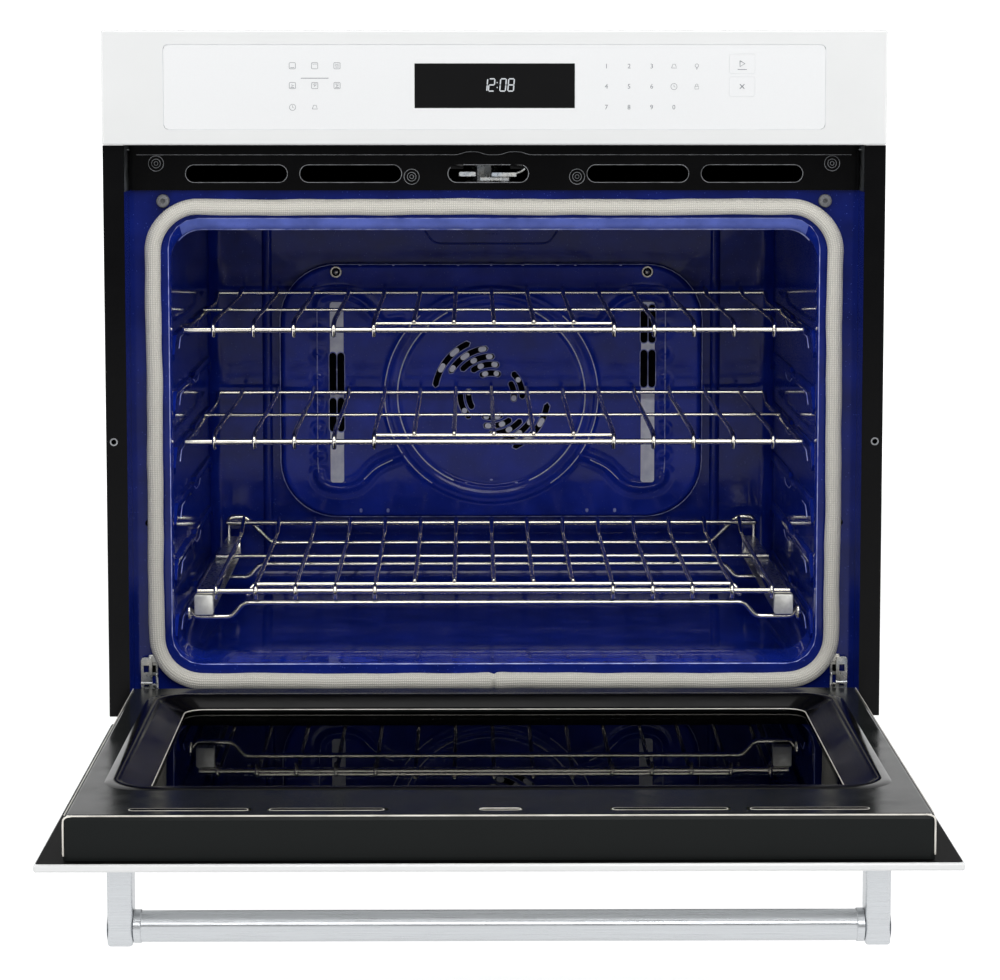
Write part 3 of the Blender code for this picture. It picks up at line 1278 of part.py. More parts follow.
def door_liner(hang):
    """Enamelled inner pan with a sunk, ledged window, cooling slots and notches for the hinge arms."""
    liner = block(
        "door_liner",
        (-LINER_HALF, LINER_FRONT - CUT, LINER_BOTTOM), (LINER_HALF, LINER_BACK, LINER_TOP),
        BLACK_ENAMEL, parent=hang,
    )
    soften(liner, LINER_EDGE)
    reach = LINER_HALF + CUT
    front = block(
        "liner_front",
        (-reach, LINER_FRONT - 2 * CUT, LINER_BOTTOM - CUT), (reach, LINER_FRONT, LINER_TOP + CUT), parent=hang,
    )
    room = block(
        "liner_room",
        (SHEET - LINER_HALF, LINER_FRONT - 2 * CUT, LINER_BOTTOM + SHEET),
        (LINER_HALF - SHEET, LINER_BACK - SHEET, LINER_TOP - SHEET), parent=hang,
    )
    soften(room, LINER_EDGE - SHEET)
    half = WINDOW_WIDTH / 2
    well = block(
        "window_well",
        (-half - SHEET, LEDGE_FRONT, WINDOW_BOTTOM - SHEET),
        (half + SHEET, LINER_BACK - SHEET / 2, WINDOW_TOP + SHEET),
        round_axis=1, radius=WINDOW_CORNER + SHEET, parent=hang,
    )
    sink = block(
        "window_sink",
        (-half, LEDGE_FRONT + SHEET, WINDOW_BOTTOM), (half, LINER_BACK + CUT, WINDOW_TOP),
        round_axis=1, radius=WINDOW_CORNER, parent=hang,
    )
    opening = block(
        "window_opening",
        (WINDOW_LEDGE - half, LEDGE_FRONT - CUT, WINDOW_BOTTOM + WINDOW_LIP[0]),
        (half - WINDOW_LEDGE, LINER_BACK + CUT, WINDOW_TOP - WINDOW_LIP[1]), parent=hang,
    )
    cut(liner, front, room)
    join(liner, well)
    cut(liner, sink, opening)
    length = VENT_SLOT[0]
    spans = [(LATCH_X + LINER_LATCH_SLOT[0], LATCH_X + LINER_LATCH_SLOT[1])]
    for centre in VENT_SLOT_CENTRES:
        spans += [(s * centre - length / 2, s * centre + length / 2) for s in (-1, 1)]
    for i, (left, right) in enumerate(spans):
        slot = block(
            f"liner_slot_{i}",
            (left, LINER_BACK - CUT, LATCH_Z + LINER_SLOT[0]), (right, LINER_BACK + CUT, LATCH_Z + LINER_SLOT[1]),
            parent=hang,
        )
        cut(liner, slot)
    for side, sign in SIDES:
        x = sign * HINGE_X
        reach = FORK_WIDTH / 2 + ARM_NOTCH_GAP
        notch = block(
            "arm_notch_" + side,
            (x - reach, PIVOT_DEPTH - ARM_NOTCH[0], LINER_BOTTOM - CUT),
            (x + reach, PIVOT_DEPTH + ARM_NOTCH[0], LINER_BOTTOM + ARM_NOTCH[1]), parent=hang,
        )
        cut(liner, notch)


def door_glass(hang):
    """Three panes: one behind the outer pan, one under the liner's ledge and one held off it by a frame."""
    half = WINDOW_WIDTH / 2 - GLASS_MARGIN[0]
    low, high = WINDOW_BOTTOM + GLASS_MARGIN[1], WINDOW_TOP - GLASS_MARGIN[1]
    outer = DOOR_OUTER + SHEET + SEAT_GAP
    inner = LEDGE_FRONT - SEAT_GAP - GLASS
    spacer_back = inner - SEAT_GAP
    spacer_front = spacer_back - SPACER[1]
    middle = spacer_front - SEAT_GAP - GLASS
    for name, front, finish in (
        ("outer", outer, BLACK_GLASS), ("inner", inner, CLEAR_GLASS), ("middle", middle, CLEAR_GLASS)
    ):
        block(f"door_{name}_glass", (-half, front, low), (half, front + GLASS, high), finish, parent=hang)
    spacer = block("glass_spacer", (-half, spacer_front, low), (half, spacer_back, high), ZINC, parent=hang)
    reach = half - SPACER[0]
    room = block(
        "spacer_room",
        (-reach, spacer_front - CUT, low + SPACER[0]), (reach, spacer_back + CUT, high - SPACER[0]), parent=hang,
    )
    cut(spacer, room)


def door_insulation(hang):
    half = LINER_HALF - SHEET - LINER_CONTENT_GAP
    inner = WINDOW_WIDTH / 2 + SHEET + SEAT_GAP
    low, high = WINDOW_BOTTOM + DOOR_WOOL[0], LATCH_Z - DOOR_WOOL[1]
    front, back = LINER_FRONT, LINER_BACK - SHEET - LINER_CONTENT_GAP
    pad = block("door_insulation", (-half, front, low), (half, back, high), WOOL, parent=hang)
    room = block(
        "insulation_room",
        (-inner, front - CUT, low - CUT), (inner, back + CUT, WINDOW_TOP + SHEET + SEAT_GAP), parent=hang,
    )
    cut(pad, room)


def hinge_arms(hang):
    """Channels in the door, each ending in a fork round the fixed hinge tongue."""
    half = FORK_WIDTH / 2
    floor = LINER_BOTTOM + SHEET
    back = LINER_BACK - SHEET - LINER_CONTENT_GAP
    for side, sign in SIDES:
        x = sign * HINGE_X
        arm = block(
            "hinge_arm_" + side,
            (x - half, PIVOT_DEPTH - ARM_FRONT, floor + ARM_FOOT[0]), (x + half, back, ARM_TOP), ZINC, parent=hang,
        )
        room = block(
            "arm_room_" + side,
            (x - half + SHEET, PIVOT_DEPTH - CUT, floor + ARM_FOOT[2]), (x + half - SHEET, back - SHEET, ARM_TOP + CUT),
            parent=hang,
        )
        fork = block(
            "fork_" + side,
            (x - half, PIVOT_DEPTH - EYE_RADIUS, PIVOT_Z - EYE_RADIUS),
            (x + half, PIVOT_DEPTH + EYE_RADIUS, floor + ARM_FOOT[1]),
            round_axis=0, radius=FORK_CORNER, parent=hang,
        )
        slot = block(
            "fork_slot_" + side,
            (x - FORK_SLOT / 2, PIVOT_DEPTH - 2 * CUT, PIVOT_Z - 2 * CUT),
            (x + FORK_SLOT / 2, PIVOT_DEPTH + 2 * CUT, LINER_BOTTOM + SHEET), parent=hang,
        )
        bore = rod(
            "fork_bore_" + side, (x, PIVOT_DEPTH, PIVOT_Z), PIN_RADIUS + SEAT_GAP, 3 * CUT, 0, None, 16, hang
        )
        cut(arm, room)
        join(arm, fork)
        cut(arm, slot, bore)


def handle(hang):
    width, reach, height = HANDLE_POST
    z = DOOR_TOP - HANDLE_DROP
    half = HANDLE_LENGTH / 2
    face = DOOR_OUTER - SEAT_GAP
    for side, sign in SIDES:
        low, high = sorted((sign * (half - width), sign * half))
        block(
            "handle_post_" + side,
            (low, face - reach, z - height / 2), (high, face, z + height / 2), ALUMINIUM,
            round_axis=0, radius=HANDLE_POST_CORNER, segments=2, parent=hang,
        )
    length = HANDLE_LENGTH - 2 * width - 2 * SEAT_GAP
    rod("handle_bar", (0, DOOR_OUTER - HANDLE_BAR_STANDOFF, z), HANDLE_BAR_RADIUS, length, 0, ALUMINIUM, 20, hang)


def hinge_brackets():
    """Fixed tongues through the front frame, each with the hinge pin and the lock lever's pin."""
    half = TONGUE_WIDTH / 2
    pivot_z = PIVOT_Z + LEVER_PIVOT_RISE
    for side, sign in SIDES:
        x = sign * HINGE_X
        tongue = block(
            "hinge_bracket_" + side,
            (x - half, PIVOT_DEPTH, PIVOT_Z - EYE_RADIUS),
            (x + half, CAVITY_MOUTH + TONGUE_TAIL, PIVOT_Z + EYE_RADIUS), ZINC,
        )
        eye = rod("tongue_eye_" + side, (x, PIVOT_DEPTH, PIVOT_Z), EYE_RADIUS, TONGUE_WIDTH, 0, sides=20)
        pin = rod("hinge_pin_" + side, (x, PIVOT_DEPTH, PIVOT_Z), PIN_RADIUS, FORK_WIDTH + PIN_OVERHANG, 0)
        horn = block(
            "lever_horn_" + side,
            (x - half, LEVER_PIVOT_DEPTH - HORN_HALF, PIVOT_Z),
            (x + half, LEVER_PIVOT_DEPTH + HORN_HALF, pivot_z + HORN_ABOVE),
        )
        lever_pin = rod(
            "lever_pin_" + side, (x, LEVER_PIVOT_DEPTH, pivot_z), LEVER_PIN_RADIUS, LEVER_WIDTH + LEVER_LAP, 0,
            sides=12,
        )
        join(tongue, eye, pin, horn, lever_pin)


def hinge_locks():
    """Levers that fold forward over the hinges to hold them open while the door is lifted off."""
    pivot_z = PIVOT_Z + LEVER_PIVOT_RISE
    half = LEVER_WIDTH / 2
    for side, sign in SIDES:
        x = sign * HINGE_X
        fold = axis_empty("lock_axis_" + side, x, LEVER_PIVOT_DEPTH, pivot_z)
        lever = block(
            "hinge_lock_" + side,
            (x - half, LEVER_PIVOT_DEPTH - LEVER_BLOCK[0], pivot_z - LEVER_HEEL),
            (x + half, LEVER_PIVOT_DEPTH + LEVER_BLOCK[1], pivot_z + LEVER_SHOULDER), ZINC,
            round_axis=0, radius=LEVER_CORNER, segments=2, parent=fold,
        )
        blade = block(
            "lever_blade_" + side,
            (x - half, LEVER_PIVOT_DEPTH - LEVER_BLADE[0], pivot_z + LEVER_SHOULDER - LEVER_LAP),
            (x + half, LEVER_PIVOT_DEPTH - LEVER_BLADE[1], pivot_z + LEVER_LENGTH),
            round_axis=1, radius=LEVER_BLADE_CORNER, segments=2, parent=fold,
        )
        gap, ear_top = TONGUE_WIDTH / 2 + LEVER_EAR[0], LEVER_EAR[1]
        ears = block(
            "lever_gap_" + side,
            (x - gap, LEVER_PIVOT_DEPTH - CUT, pivot_z - CUT), (x + gap, LEVER_PIVOT_DEPTH + CUT, pivot_z + ear_top),
            parent=fold,
        )
        reach, low, high = LEVER_WINDOW
        window = block(
            "lever_window_" + side,
            (x - reach, LEVER_PIVOT_DEPTH - CUT, pivot_z + low), (x + reach, LEVER_PIVOT_DEPTH + CUT, pivot_z + high),
            parent=fold,
        )
        bore = rod(
            "lever_bore_" + side, (x, LEVER_PIVOT_DEPTH, pivot_z), LEVER_PIN_RADIUS + SEAT_GAP, 3 * CUT, 0, None,
            12, fold,
        )
        join(lever, blade)
        cut(lever, ears, window, bore)


def door():
    hang = axis_empty("door_axis", 0, PIVOT_DEPTH, PIVOT_Z)
    door_skin(hang)
    door_liner(hang)
    door_glass(hang)
    door_insulation(hang)
    hinge_arms(hang)
    handle(hang)
    hang.rotation_euler.x = DOOR_OPEN_ANGLE


chassis_panels()
front_frame()
oven_cavity()
rear_baffle()
insulation()
side_trims()
lower_trim()
vent_trim()
door_gasket()
bumpers()
control_panel()
touch_glass()
control_board()
relay_board()
broil_element()
bake_element()
convection_set()
air_duct()
cooling_blower()
lamp()
temperature_probe()
junction_box()
latch()
rack("rack_top", GUIDE_HEIGHTS[0])
rack("rack_middle", GUIDE_HEIGHTS[2])
glide_base_frame(GUIDE_HEIGHTS[5])
glide_rack(GUIDE_HEIGHTS[5])
hinge_brackets()
hinge_locks()
door()
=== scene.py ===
"""Looks of a white built-in wall oven with its door open: enamel, glass, chrome racks and the knitted door seal.

Lengths inside the functions are millimetres: X to the right, depth behind the control panel's face, and height.
Door pieces are worked out on the shut door and then swung open.
"""

import math

import bmesh
import bpy
import numpy as np
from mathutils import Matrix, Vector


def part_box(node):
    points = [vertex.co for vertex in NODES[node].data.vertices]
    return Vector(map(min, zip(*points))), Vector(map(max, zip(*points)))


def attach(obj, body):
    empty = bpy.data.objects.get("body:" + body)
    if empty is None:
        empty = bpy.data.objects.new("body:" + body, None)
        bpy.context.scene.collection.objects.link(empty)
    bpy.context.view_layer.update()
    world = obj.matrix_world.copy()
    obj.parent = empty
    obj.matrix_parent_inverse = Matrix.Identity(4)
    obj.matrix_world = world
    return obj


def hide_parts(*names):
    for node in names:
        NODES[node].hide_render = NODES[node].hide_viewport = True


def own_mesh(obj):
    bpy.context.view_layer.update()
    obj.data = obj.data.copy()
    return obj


bl_info = {
    "name": "Wall oven looks",
    "version": (1, 0, 0),
    "blender": (4, 5, 0),
    "location": "View3D > Sidebar > Wall oven",
    "description": "Finishes and detailed pieces for a built-in wall oven",
    "category": "Object",
}

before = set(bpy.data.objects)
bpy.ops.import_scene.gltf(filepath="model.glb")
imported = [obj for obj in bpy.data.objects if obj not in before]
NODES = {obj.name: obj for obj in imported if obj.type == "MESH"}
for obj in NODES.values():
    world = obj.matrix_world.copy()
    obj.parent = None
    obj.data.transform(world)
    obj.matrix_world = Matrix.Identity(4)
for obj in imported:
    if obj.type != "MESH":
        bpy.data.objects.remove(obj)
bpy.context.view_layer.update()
PANEL_FACE = -303.7  # frame Y of the control panel's face
PIVOT = (16.7, 59.3)  # the door hinge's depth and height


# ---- colours and sizes that a user would change

def linear(hexa):
    """sRGB hex to linear red, green and blue, and an alpha of 1."""
    srgb = np.array([int(hexa[i:i + 2], 16) for i in (0, 2, 4)]) / 255
    rgb = np.where(srgb <= 0.04045, srgb / 12.92, ((srgb + 0.055) / 1.055) ** 2.4)
    return (*map(float, rgb), 1.0)


def colour(name, description, hexa):
    return bpy.props.FloatVectorProperty(
        name=name, description=description, subtype="COLOR", size=4, min=0, max=1, default=linear(hexa)
    )


def length(name, description, metres):
    return bpy.props.FloatProperty(
        name=name, description=description, subtype="DISTANCE", unit="LENGTH", default=metres, min=0.0001
    )


class OvenColours(bpy.types.PropertyGroup):
    """Colours of the oven's finishes."""

    white: colour("White enamel", "Control panel and outer door panel", "CFD0D0")
    glass: colour("White glass", "Paint on the back of the touch glass", "D6D7D8")
    black: colour("Black enamel", "Trims, vent and the inside of the door", "070708")
    cobalt: colour("Cobalt enamel", "Ground colour inside the oven", "122686")
    cobalt_light: colour("Cobalt highlight", "Flecks and thin spots of the cobalt enamel", "4457B4")
    seal: colour("Seal yarn", "Glass yarn of the door seal", "D6D3CA")
    chrome: colour("Chrome", "Racks", "E4E0D6")
    aluminium: colour("Aluminium", "Handle", "C6C9CC")
    clock: colour("Clock", "Lit segments of the clock", "E4E9EE")
    ink: colour("Ink", "Numbers and marks on the touch glass", "6B6F75")


class OvenSizes(bpy.types.PropertyGroup):
    """Sizes of the details that don't come from the frame."""

    rack_bar: length("Rack bar radius", "Radius of a rack's rim wire", 0.0030)
    rack_wire: length("Rack wire radius", "Radius of a rack's long wires", 0.0024)
    seal_radius: length("Seal radius", "Radius of the knitted seal's tube", 0.0079)
    seal_wave: length("Seal waviness", "How far the soft seal wanders from a true line", 0.00035)
    digit_height: length("Clock digits", "Height of the clock's digits", 0.0118)
    key_height: length("Key numbers", "Height of the numbers on the touch glass", 0.0046)
    screw_radius: length("Screw head radius", "Radius of the trim's screws", 0.0045)


# ---- materials

def add(tree, kind, links=(), **settings):
    """Adds one node. A setting is an attribute of the node or, failing that, an input's value."""
    node = tree.nodes.new(kind)
    for key, value in settings.items():
        if hasattr(node, key):
            setattr(node, key, value)
        else:
            node.inputs[key.replace("_", " ")].default_value = value
    for socket, source in links:
        tree.links.new(source, node.inputs[socket])
    return node


def finish(name, base, roughness, metallic=0.0, **sockets):
    """(material, tree, shader, object coordinates) of a new principled material with these constant sockets."""
    mat = bpy.data.materials.new(name)
    mat.use_nodes = True
    tree = mat.node_tree
    shader = tree.nodes["Principled BSDF"]
    for key, value in {"Base Color": base, "Roughness": roughness, "Metallic": metallic, **sockets}.items():
        shader.inputs[key].default_value = value
    mat.diffuse_color = base
    where = add(tree, "ShaderNodeTexCoord").outputs["Object"]
    return mat, tree, shader, where


def two_tones(tree, shader, factor, first, second, low=0.3, high=0.7, socket="Base Color"):
    """A ramp from the first tone to the second over a pattern's factor, put on a shader socket."""
    ramp = add(tree, "ShaderNodeValToRGB", [("Fac", factor)])
    for stop, place_on, tone in zip(ramp.color_ramp.elements, (low, high), (first, second)):
        stop.position, stop.color = place_on, tone
    tree.links.new(ramp.outputs["Color"], shader.inputs[socket])
    return ramp


def grey(value):
    """A grey of equal red, green and blue, with an alpha of 1."""
    return (value, value, value, 1.0)


def relief(tree, shader, height, strength, distance):
    """A bump from a height pattern, on the shader's normal. distance is in metres."""
    bump = add(tree, "ShaderNodeBump", [("Height", height)], Strength=strength, Distance=distance)
    tree.links.new(bump.outputs["Normal"], shader.inputs["Normal"])


def shade(base, share):
    """The linear colour times share, held at 1 at most."""
    return (*(min(1.0, c * share) for c in base[:3]), 1.0)


def noise(tree, where, cell_mm, detail=3.0, stretch=None):
    """Noise whose features are about cell_mm across. stretch divides the scale along X, Y and Z."""
    if stretch:
        where = add(tree, "ShaderNodeMapping", [("Vector", where)], Scale=stretch).outputs["Vector"]
    return add(
        tree, "ShaderNodeTexNoise", [("Vector", where)], Scale=1000 / cell_mm, Detail=detail
    ).outputs["Fac"]


def make_materials(colours):
    """All finishes of the oven by name."""
    made = {}

    # Porcelain-look white enamel on steel: very even, with the slight orange peel of a fired coat.
    mat, tree, shader, where = finish("white_enamel", colours.white, 0.22)
    two_tones(tree, shader, noise(tree, where, 60), shade(colours.white, 0.975), colours.white)
    relief(tree, shader, noise(tree, where, 4.0, 1.0), 0.03, 0.0004)
    made["white_enamel"] = mat

    # Glass with white ceramic ink fired on its back: flat and deep, with the ink's fine dots.
    mat, tree, shader, where = finish("white_glass", colours.glass, 0.08, **{"Coat Weight": 0.6, "Coat Roughness": 0.02})
    two_tones(tree, shader, noise(tree, where, 1.2, 1.0), shade(colours.glass, 0.985), colours.glass)
    made["white_glass"] = mat

    # Smoked display glass: nearly black, with a faint film of wiping marks in its gloss.
    mat, tree, shader, where = finish("black_glass", linear("0A0A0B"), 0.06)
    shader.inputs["Specular IOR Level"].default_value = 0.25
    two_tones(tree, shader, noise(tree, where, 30, stretch=(1, 1, 3)), grey(0.04), grey(0.12), socket="Roughness")
    made["black_glass"] = mat

    # Black porcelain enamel: glossy black, slightly wavy from firing. Its gloss is kept low as on the real trims.
    mat, tree, shader, where = finish("black_enamel", colours.black, 0.2)
    shader.inputs["Specular IOR Level"].default_value = 0.09
    two_tones(tree, shader, noise(tree, where, 45), grey(0.10), grey(0.20), socket="Roughness")
    relief(tree, shader, noise(tree, where, 5.0, 1.0), 0.04, 0.0004)
    made["black_enamel"] = mat

    # The door's inner pan: the same black enamel, fired thinner, with a patchy gloss.
    mat, tree, shader, where = finish("liner_enamel", linear("1A1C1C"), 0.16)
    shader.inputs["Specular IOR Level"].default_value = 0.045
    two_tones(tree, shader, noise(tree, where, 40), grey(0.10), grey(0.24), socket="Roughness")
    relief(tree, shader, noise(tree, where, 6.0, 1.0), 0.04, 0.0004)
    made["liner_enamel"] = mat

    # Enamel round a sharp bend catching the light: a thin cream line along the door's folded edges.
    mat, tree, shader, where = finish("enamel_glint", linear("CFCBC2"), 0.35)
    two_tones(tree, shader, noise(tree, where, 25.0), linear("B4B0A8"), linear("E2DED6"))
    made["enamel_glint"] = mat

    # Black, sintered and almost matt: the ground coat on the door pan's hidden side, and painted shade on the air duct
    # so that the vent slots read dark.
    mat, tree, shader, where = finish("black_coat_and_duct_shade", linear("060606"), 0.6)
    shader.inputs["Specular IOR Level"].default_value = 0.03
    two_tones(tree, shader, noise(tree, where, 12), linear("040404"), linear("090909"))
    made["black_coat_and_duct_shade"] = mat

    # Cobalt-blue pyrolytic enamel: glassy, cloudy blue with pale flecks. Real flecks are 0.2 mm; drawn at 0.5 mm.
    # Copies of it carry painted light: the front frame's is darker as painted shade, the baffle's lighter as painted
    # light, and the lip's pale violet is a painted reflection of the seal.
    for name, base in (
        ("cobalt_enamel", colours.cobalt), ("cobalt_face_shaded", shade(colours.cobalt, 0.62)),
        ("cobalt_baffle_lit", shade(colours.cobalt, 1.5)), ("cobalt_lip_reflection", linear("6272C4")),
    ):
        mat, tree, shader, where = finish(name, base, 0.08, **{"Specular IOR Level": 0.2})
        cloud = noise(tree, where, 35, 4.0)
        ground = add(tree, "ShaderNodeValToRGB", [("Fac", cloud)])
        for stop, place_on, tone in zip(ground.color_ramp.elements, (0.3, 0.72), (shade(base, 0.72), shade(base, 1.25))):
            stop.position, stop.color = place_on, tone
        cells = add(tree, "ShaderNodeTexVoronoi", [("Vector", where)], Scale=1000 / 3.2)
        fleck = add(tree, "ShaderNodeMath", [(0, cells.outputs["Distance"])], operation="LESS_THAN")
        fleck.inputs[1].default_value = 0.13
        few = add(tree, "ShaderNodeMath", [(0, noise(tree, where, 6.0, 1.0))], operation="GREATER_THAN")
        few.inputs[1].default_value = 0.52
        both = add(
            tree, "ShaderNodeMath", [(0, fleck.outputs[0]), (1, few.outputs[0])], operation="MULTIPLY"
        ).outputs[0]
        mix = add(tree, "ShaderNodeMix", [(0, both), (6, ground.outputs["Color"])], data_type="RGBA")
        mix.inputs[7].default_value = colours.cobalt_light
        tree.links.new(mix.outputs[2], shader.inputs["Base Color"])
        two_tones(tree, shader, cloud, grey(0.05), grey(0.11), socket="Roughness")
        relief(tree, shader, noise(tree, where, 7.0, 2.0), 0.06, 0.0006)
        made[name] = mat

    # Chrome-plated steel wire: bright mirror with fine drawing marks.
    mat, tree, shader, where = finish("chrome_wire", colours.chrome, 0.16, 1.0)
    two_tones(tree, shader, noise(tree, where, 8.0), grey(0.12), grey(0.24), socket="Roughness")
    made["chrome_wire"] = mat

    # Brushed aluminium: grain along the bar, which stretches highlights across it.
    mat, tree, shader, where = finish("brushed_aluminium", colours.aluminium, 0.3, 1.0, Anisotropic=0.5)
    grain = noise(tree, where, 1.0, 4.0, stretch=(0.02, 1, 1))
    two_tones(tree, shader, grain, grey(0.22), grey(0.42), socket="Roughness")
    two_tones(tree, shader, grain, shade(colours.aluminium, 0.86), colours.aluminium)
    relief(tree, shader, grain, 0.02, 0.0001)
    made["brushed_aluminium"] = mat

    # Tumbled stainless caps: pale and even, without a clear reflection.
    mat, tree, shader, where = finish("satin_steel", linear("D8D8D2"), 0.45, 0.35)
    two_tones(tree, shader, noise(tree, where, 5.0), linear("C9C9C3"), linear("DEDED8"))
    made["satin_steel"] = mat

    # Zinc-plated stampings: satin silver with a faint blue and straw bloom.
    mat, tree, shader, where = finish("zinc_plate", linear("C4C7CA"), 0.28, 1.0)
    two_tones(tree, shader, noise(tree, where, 14), linear("AEB6BF"), linear("D2CFC6"))
    two_tones(tree, shader, noise(tree, where, 3.0), grey(0.22), grey(0.38), socket="Roughness")
    made["zinc_plate"] = mat

    # Hot-dip galvanised sheet: spangle crystals about 14 mm across, each with its own grey and gloss.
    mat, tree, shader, where = finish("galvanised_steel", linear("A9ADB0"), 0.4, 1.0)
    bent = add(tree, "ShaderNodeVectorMath", [(0, where)], operation="ADD")
    warp = add(tree, "ShaderNodeTexNoise", [("Vector", where)], Scale=120.0, Detail=2.0)
    small = add(tree, "ShaderNodeVectorMath", [(0, warp.outputs["Color"])], operation="SCALE", Scale=0.006)
    tree.links.new(small.outputs["Vector"], bent.inputs[1])
    cells = add(tree, "ShaderNodeTexVoronoi", [("Vector", bent.outputs["Vector"])], Scale=1000 / 14)
    tone = add(tree, "ShaderNodeSeparateColor", [("Color", cells.outputs["Color"])])
    two_tones(tree, shader, tone.outputs["Red"], linear("9DA1A4"), linear("B4B8BA"), 0.0, 1.0)
    two_tones(tree, shader, tone.outputs["Green"], grey(0.3), grey(0.5), 0.0, 1.0, socket="Roughness")
    made["galvanised_steel"] = mat

    # Knitted glass-fibre tube: stitches 1.9 mm apart along the seal and 2.6 mm round it, soft and matt.
    mat, tree, shader, _ = finish("woven_glass_fibre", colours.seal, 0.85, **{"Sheen Weight": 0.25, "Sheen Roughness": 0.6})
    along = add(tree, "ShaderNodeUVMap", uv_map="metres").outputs["UV"]
    rows = add(tree, "ShaderNodeTexWave", [("Vector", along)], Scale=1000 / 1.9 / 6.2832 * 2, Distortion=0.5, Detail=1.0)
    rows.bands_direction = "X"
    strands = add(tree, "ShaderNodeTexWave", [("Vector", along)], Scale=1000 / 2.6 / 6.2832 * 2, Distortion=0.7, Detail=1.0)
    strands.bands_direction = "Y"
    knit = add(
        tree, "ShaderNodeMath", [(0, rows.outputs["Fac"]), (1, strands.outputs["Fac"])], operation="MULTIPLY"
    ).outputs[0]
    two_tones(tree, shader, knit, shade(colours.seal, 0.68), colours.seal, 0.05, 0.6)
    relief(tree, shader, knit, 0.55, 0.0012)
    made["woven_glass_fibre"] = mat

    # Grey silicone stops: matt rubber with moulding texture.
    mat, tree, shader, where = finish("grey_silicone", linear("6A6B6D"), 0.6)
    two_tones(tree, shader, noise(tree, where, 2.0), linear("5C5D5F"), linear("77787A"))
    made["grey_silicone"] = mat

    # Incoloy heater sheath: dark oxidised metal with straw and blue heat tints.
    mat, tree, shader, where = finish("heater_sheath", linear("4A4745"), 0.42, 0.85)
    two_tones(tree, shader, noise(tree, where, 40), linear("3A3B40"), linear("5E5650"))
    made["heater_sheath"] = mat

    # Heat-reflecting door glass: clear with a faint grey coating.
    mat, tree, shader, where = finish(
        "clear_glass", linear("3E4245"), 0.0, **{"Transmission Weight": 1.0, "IOR": 1.06, "Specular IOR Level": 0.1}
    )
    two_tones(tree, shader, noise(tree, where, 90), grey(0.0), grey(0.02), socket="Roughness")
    made["clear_glass"] = mat

    # Mineral wool: matted tan fibres, drawn about 2 mm thick.
    mat, tree, shader, where = finish("mineral_wool", linear("B9A877"), 0.95)
    fibre = noise(tree, where, 3.0, 8.0, stretch=(0.4, 1.0, 1.6))
    two_tones(tree, shader, fibre, linear("8C7C50"), linear("D6C89C"))
    relief(tree, shader, fibre, 0.9, 0.003)
    made["mineral_wool"] = mat

    # Glass-epoxy circuit board: green mask over copper tracks 1.5 mm apart.
    mat, tree, shader, where = finish("circuit_board", linear("1E6B3A"), 0.35)
    tracks = add(tree, "ShaderNodeTexBrick", [("Vector", where)], Scale=90.0, Mortar_Size=0.03)
    tree.links.new(tracks.outputs["Color"], shader.inputs["Base Color"])
    for socket, tone in (("Color1", "145C31"), ("Color2", "1B6A39"), ("Mortar", "4F9A57")):
        tracks.inputs[socket].default_value = linear(tone)
    made["circuit_board"] = mat

    # Painted motor shell and laminations: 1 mm layers showing as fine bands.
    mat, tree, shader, where = finish("motor_steel", linear("6C7075"), 0.45, 0.8)
    bands = add(tree, "ShaderNodeTexWave", [("Vector", where)], Scale=160.0, Distortion=0.4)
    bands.bands_direction = "Y"
    two_tones(tree, shader, bands.outputs["Fac"], linear("54585C"), linear("83878B"))
    made["motor_steel"] = mat

    # Screen-printed ceramic ink: matt grey with the screen's slight unevenness.
    mat, tree, shader, where = finish("printed_ink", colours.ink, 0.6)
    two_tones(tree, shader, noise(tree, where, 0.8), shade(colours.ink, 0.85), colours.ink)
    made["printed_ink"] = mat

    # Vacuum-fluorescent clock segments: soft white glow with a fine grid.
    mat, tree, shader, where = finish("clock_segment", linear("202020"), 0.5, **{"Emission Strength": 0.85})
    two_tones(
        tree, shader, noise(tree, where, 0.6, 1.0), shade(colours.clock, 0.8), colours.clock, socket="Emission Color"
    )
    made["clock_segment"] = mat

    # Nickel-plated screws: bright, worn a little in the drive recess.
    mat, tree, shader, where = finish("nickel_screw", linear("B8B4AC"), 0.25, 1.0)
    two_tones(tree, shader, noise(tree, where, 1.5), grey(0.18), grey(0.4), socket="Roughness")
    made["nickel_screw"] = mat

    # Painted shadow inside punched holes and recesses: near black, so that a slot reads as open.
    mat, tree, shader, where = finish("slot_shadow", linear("050506"), 0.9)
    shader.inputs["Specular IOR Level"].default_value = 0.02
    two_tones(tree, shader, noise(tree, where, 5.0), linear("030304"), linear("08080A"))
    made["slot_shadow"] = mat

    # Painted highlight: a thin grey line along sharp edges of the black enamel, where light catches the bends; the
    # handle posts' feet take the same grey.
    mat, tree, shader, where = finish("edge_highlight_grey", linear("7B7D80"), 0.4)
    two_tones(tree, shader, noise(tree, where, 9.0), linear("55575A"), linear("94969A"))
    made["edge_highlight_grey"] = mat

    # Painted light: pale, soft patches behind the baffle's slots so they read as light coming through, and painted
    # highlights along its beads.
    mat, tree, shader, where = finish("pale_painted_light", linear("E6E8F2"), 0.35)
    two_tones(tree, shader, noise(tree, where, 10.0), linear("DADCE8"), linear("F4F5FA"))
    made["pale_painted_light"] = mat

    # Painted shadow line round the touch glass, in grey; the same grey prints the frames round two keys.
    mat, tree, shader, where = finish("shadow_line_and_key_frames", linear("C9CBCE"), 0.5)
    two_tones(tree, shader, noise(tree, where, 20.0), linear("C2C4C7"), linear("D0D2D4"))
    made["shadow_line_and_key_frames"] = mat

    # Painted highlight on cobalt enamel: pale lines and dots along sharp corners, beads and slot rims.
    mat, tree, shader, where = finish("pale_cobalt_highlight", linear("8C97D8"), 0.2)
    two_tones(tree, shader, noise(tree, where, 12.0), linear("5A68BE"), linear("B4BCEC"))
    made["pale_cobalt_highlight"] = mat
    return made


# ---- shapes

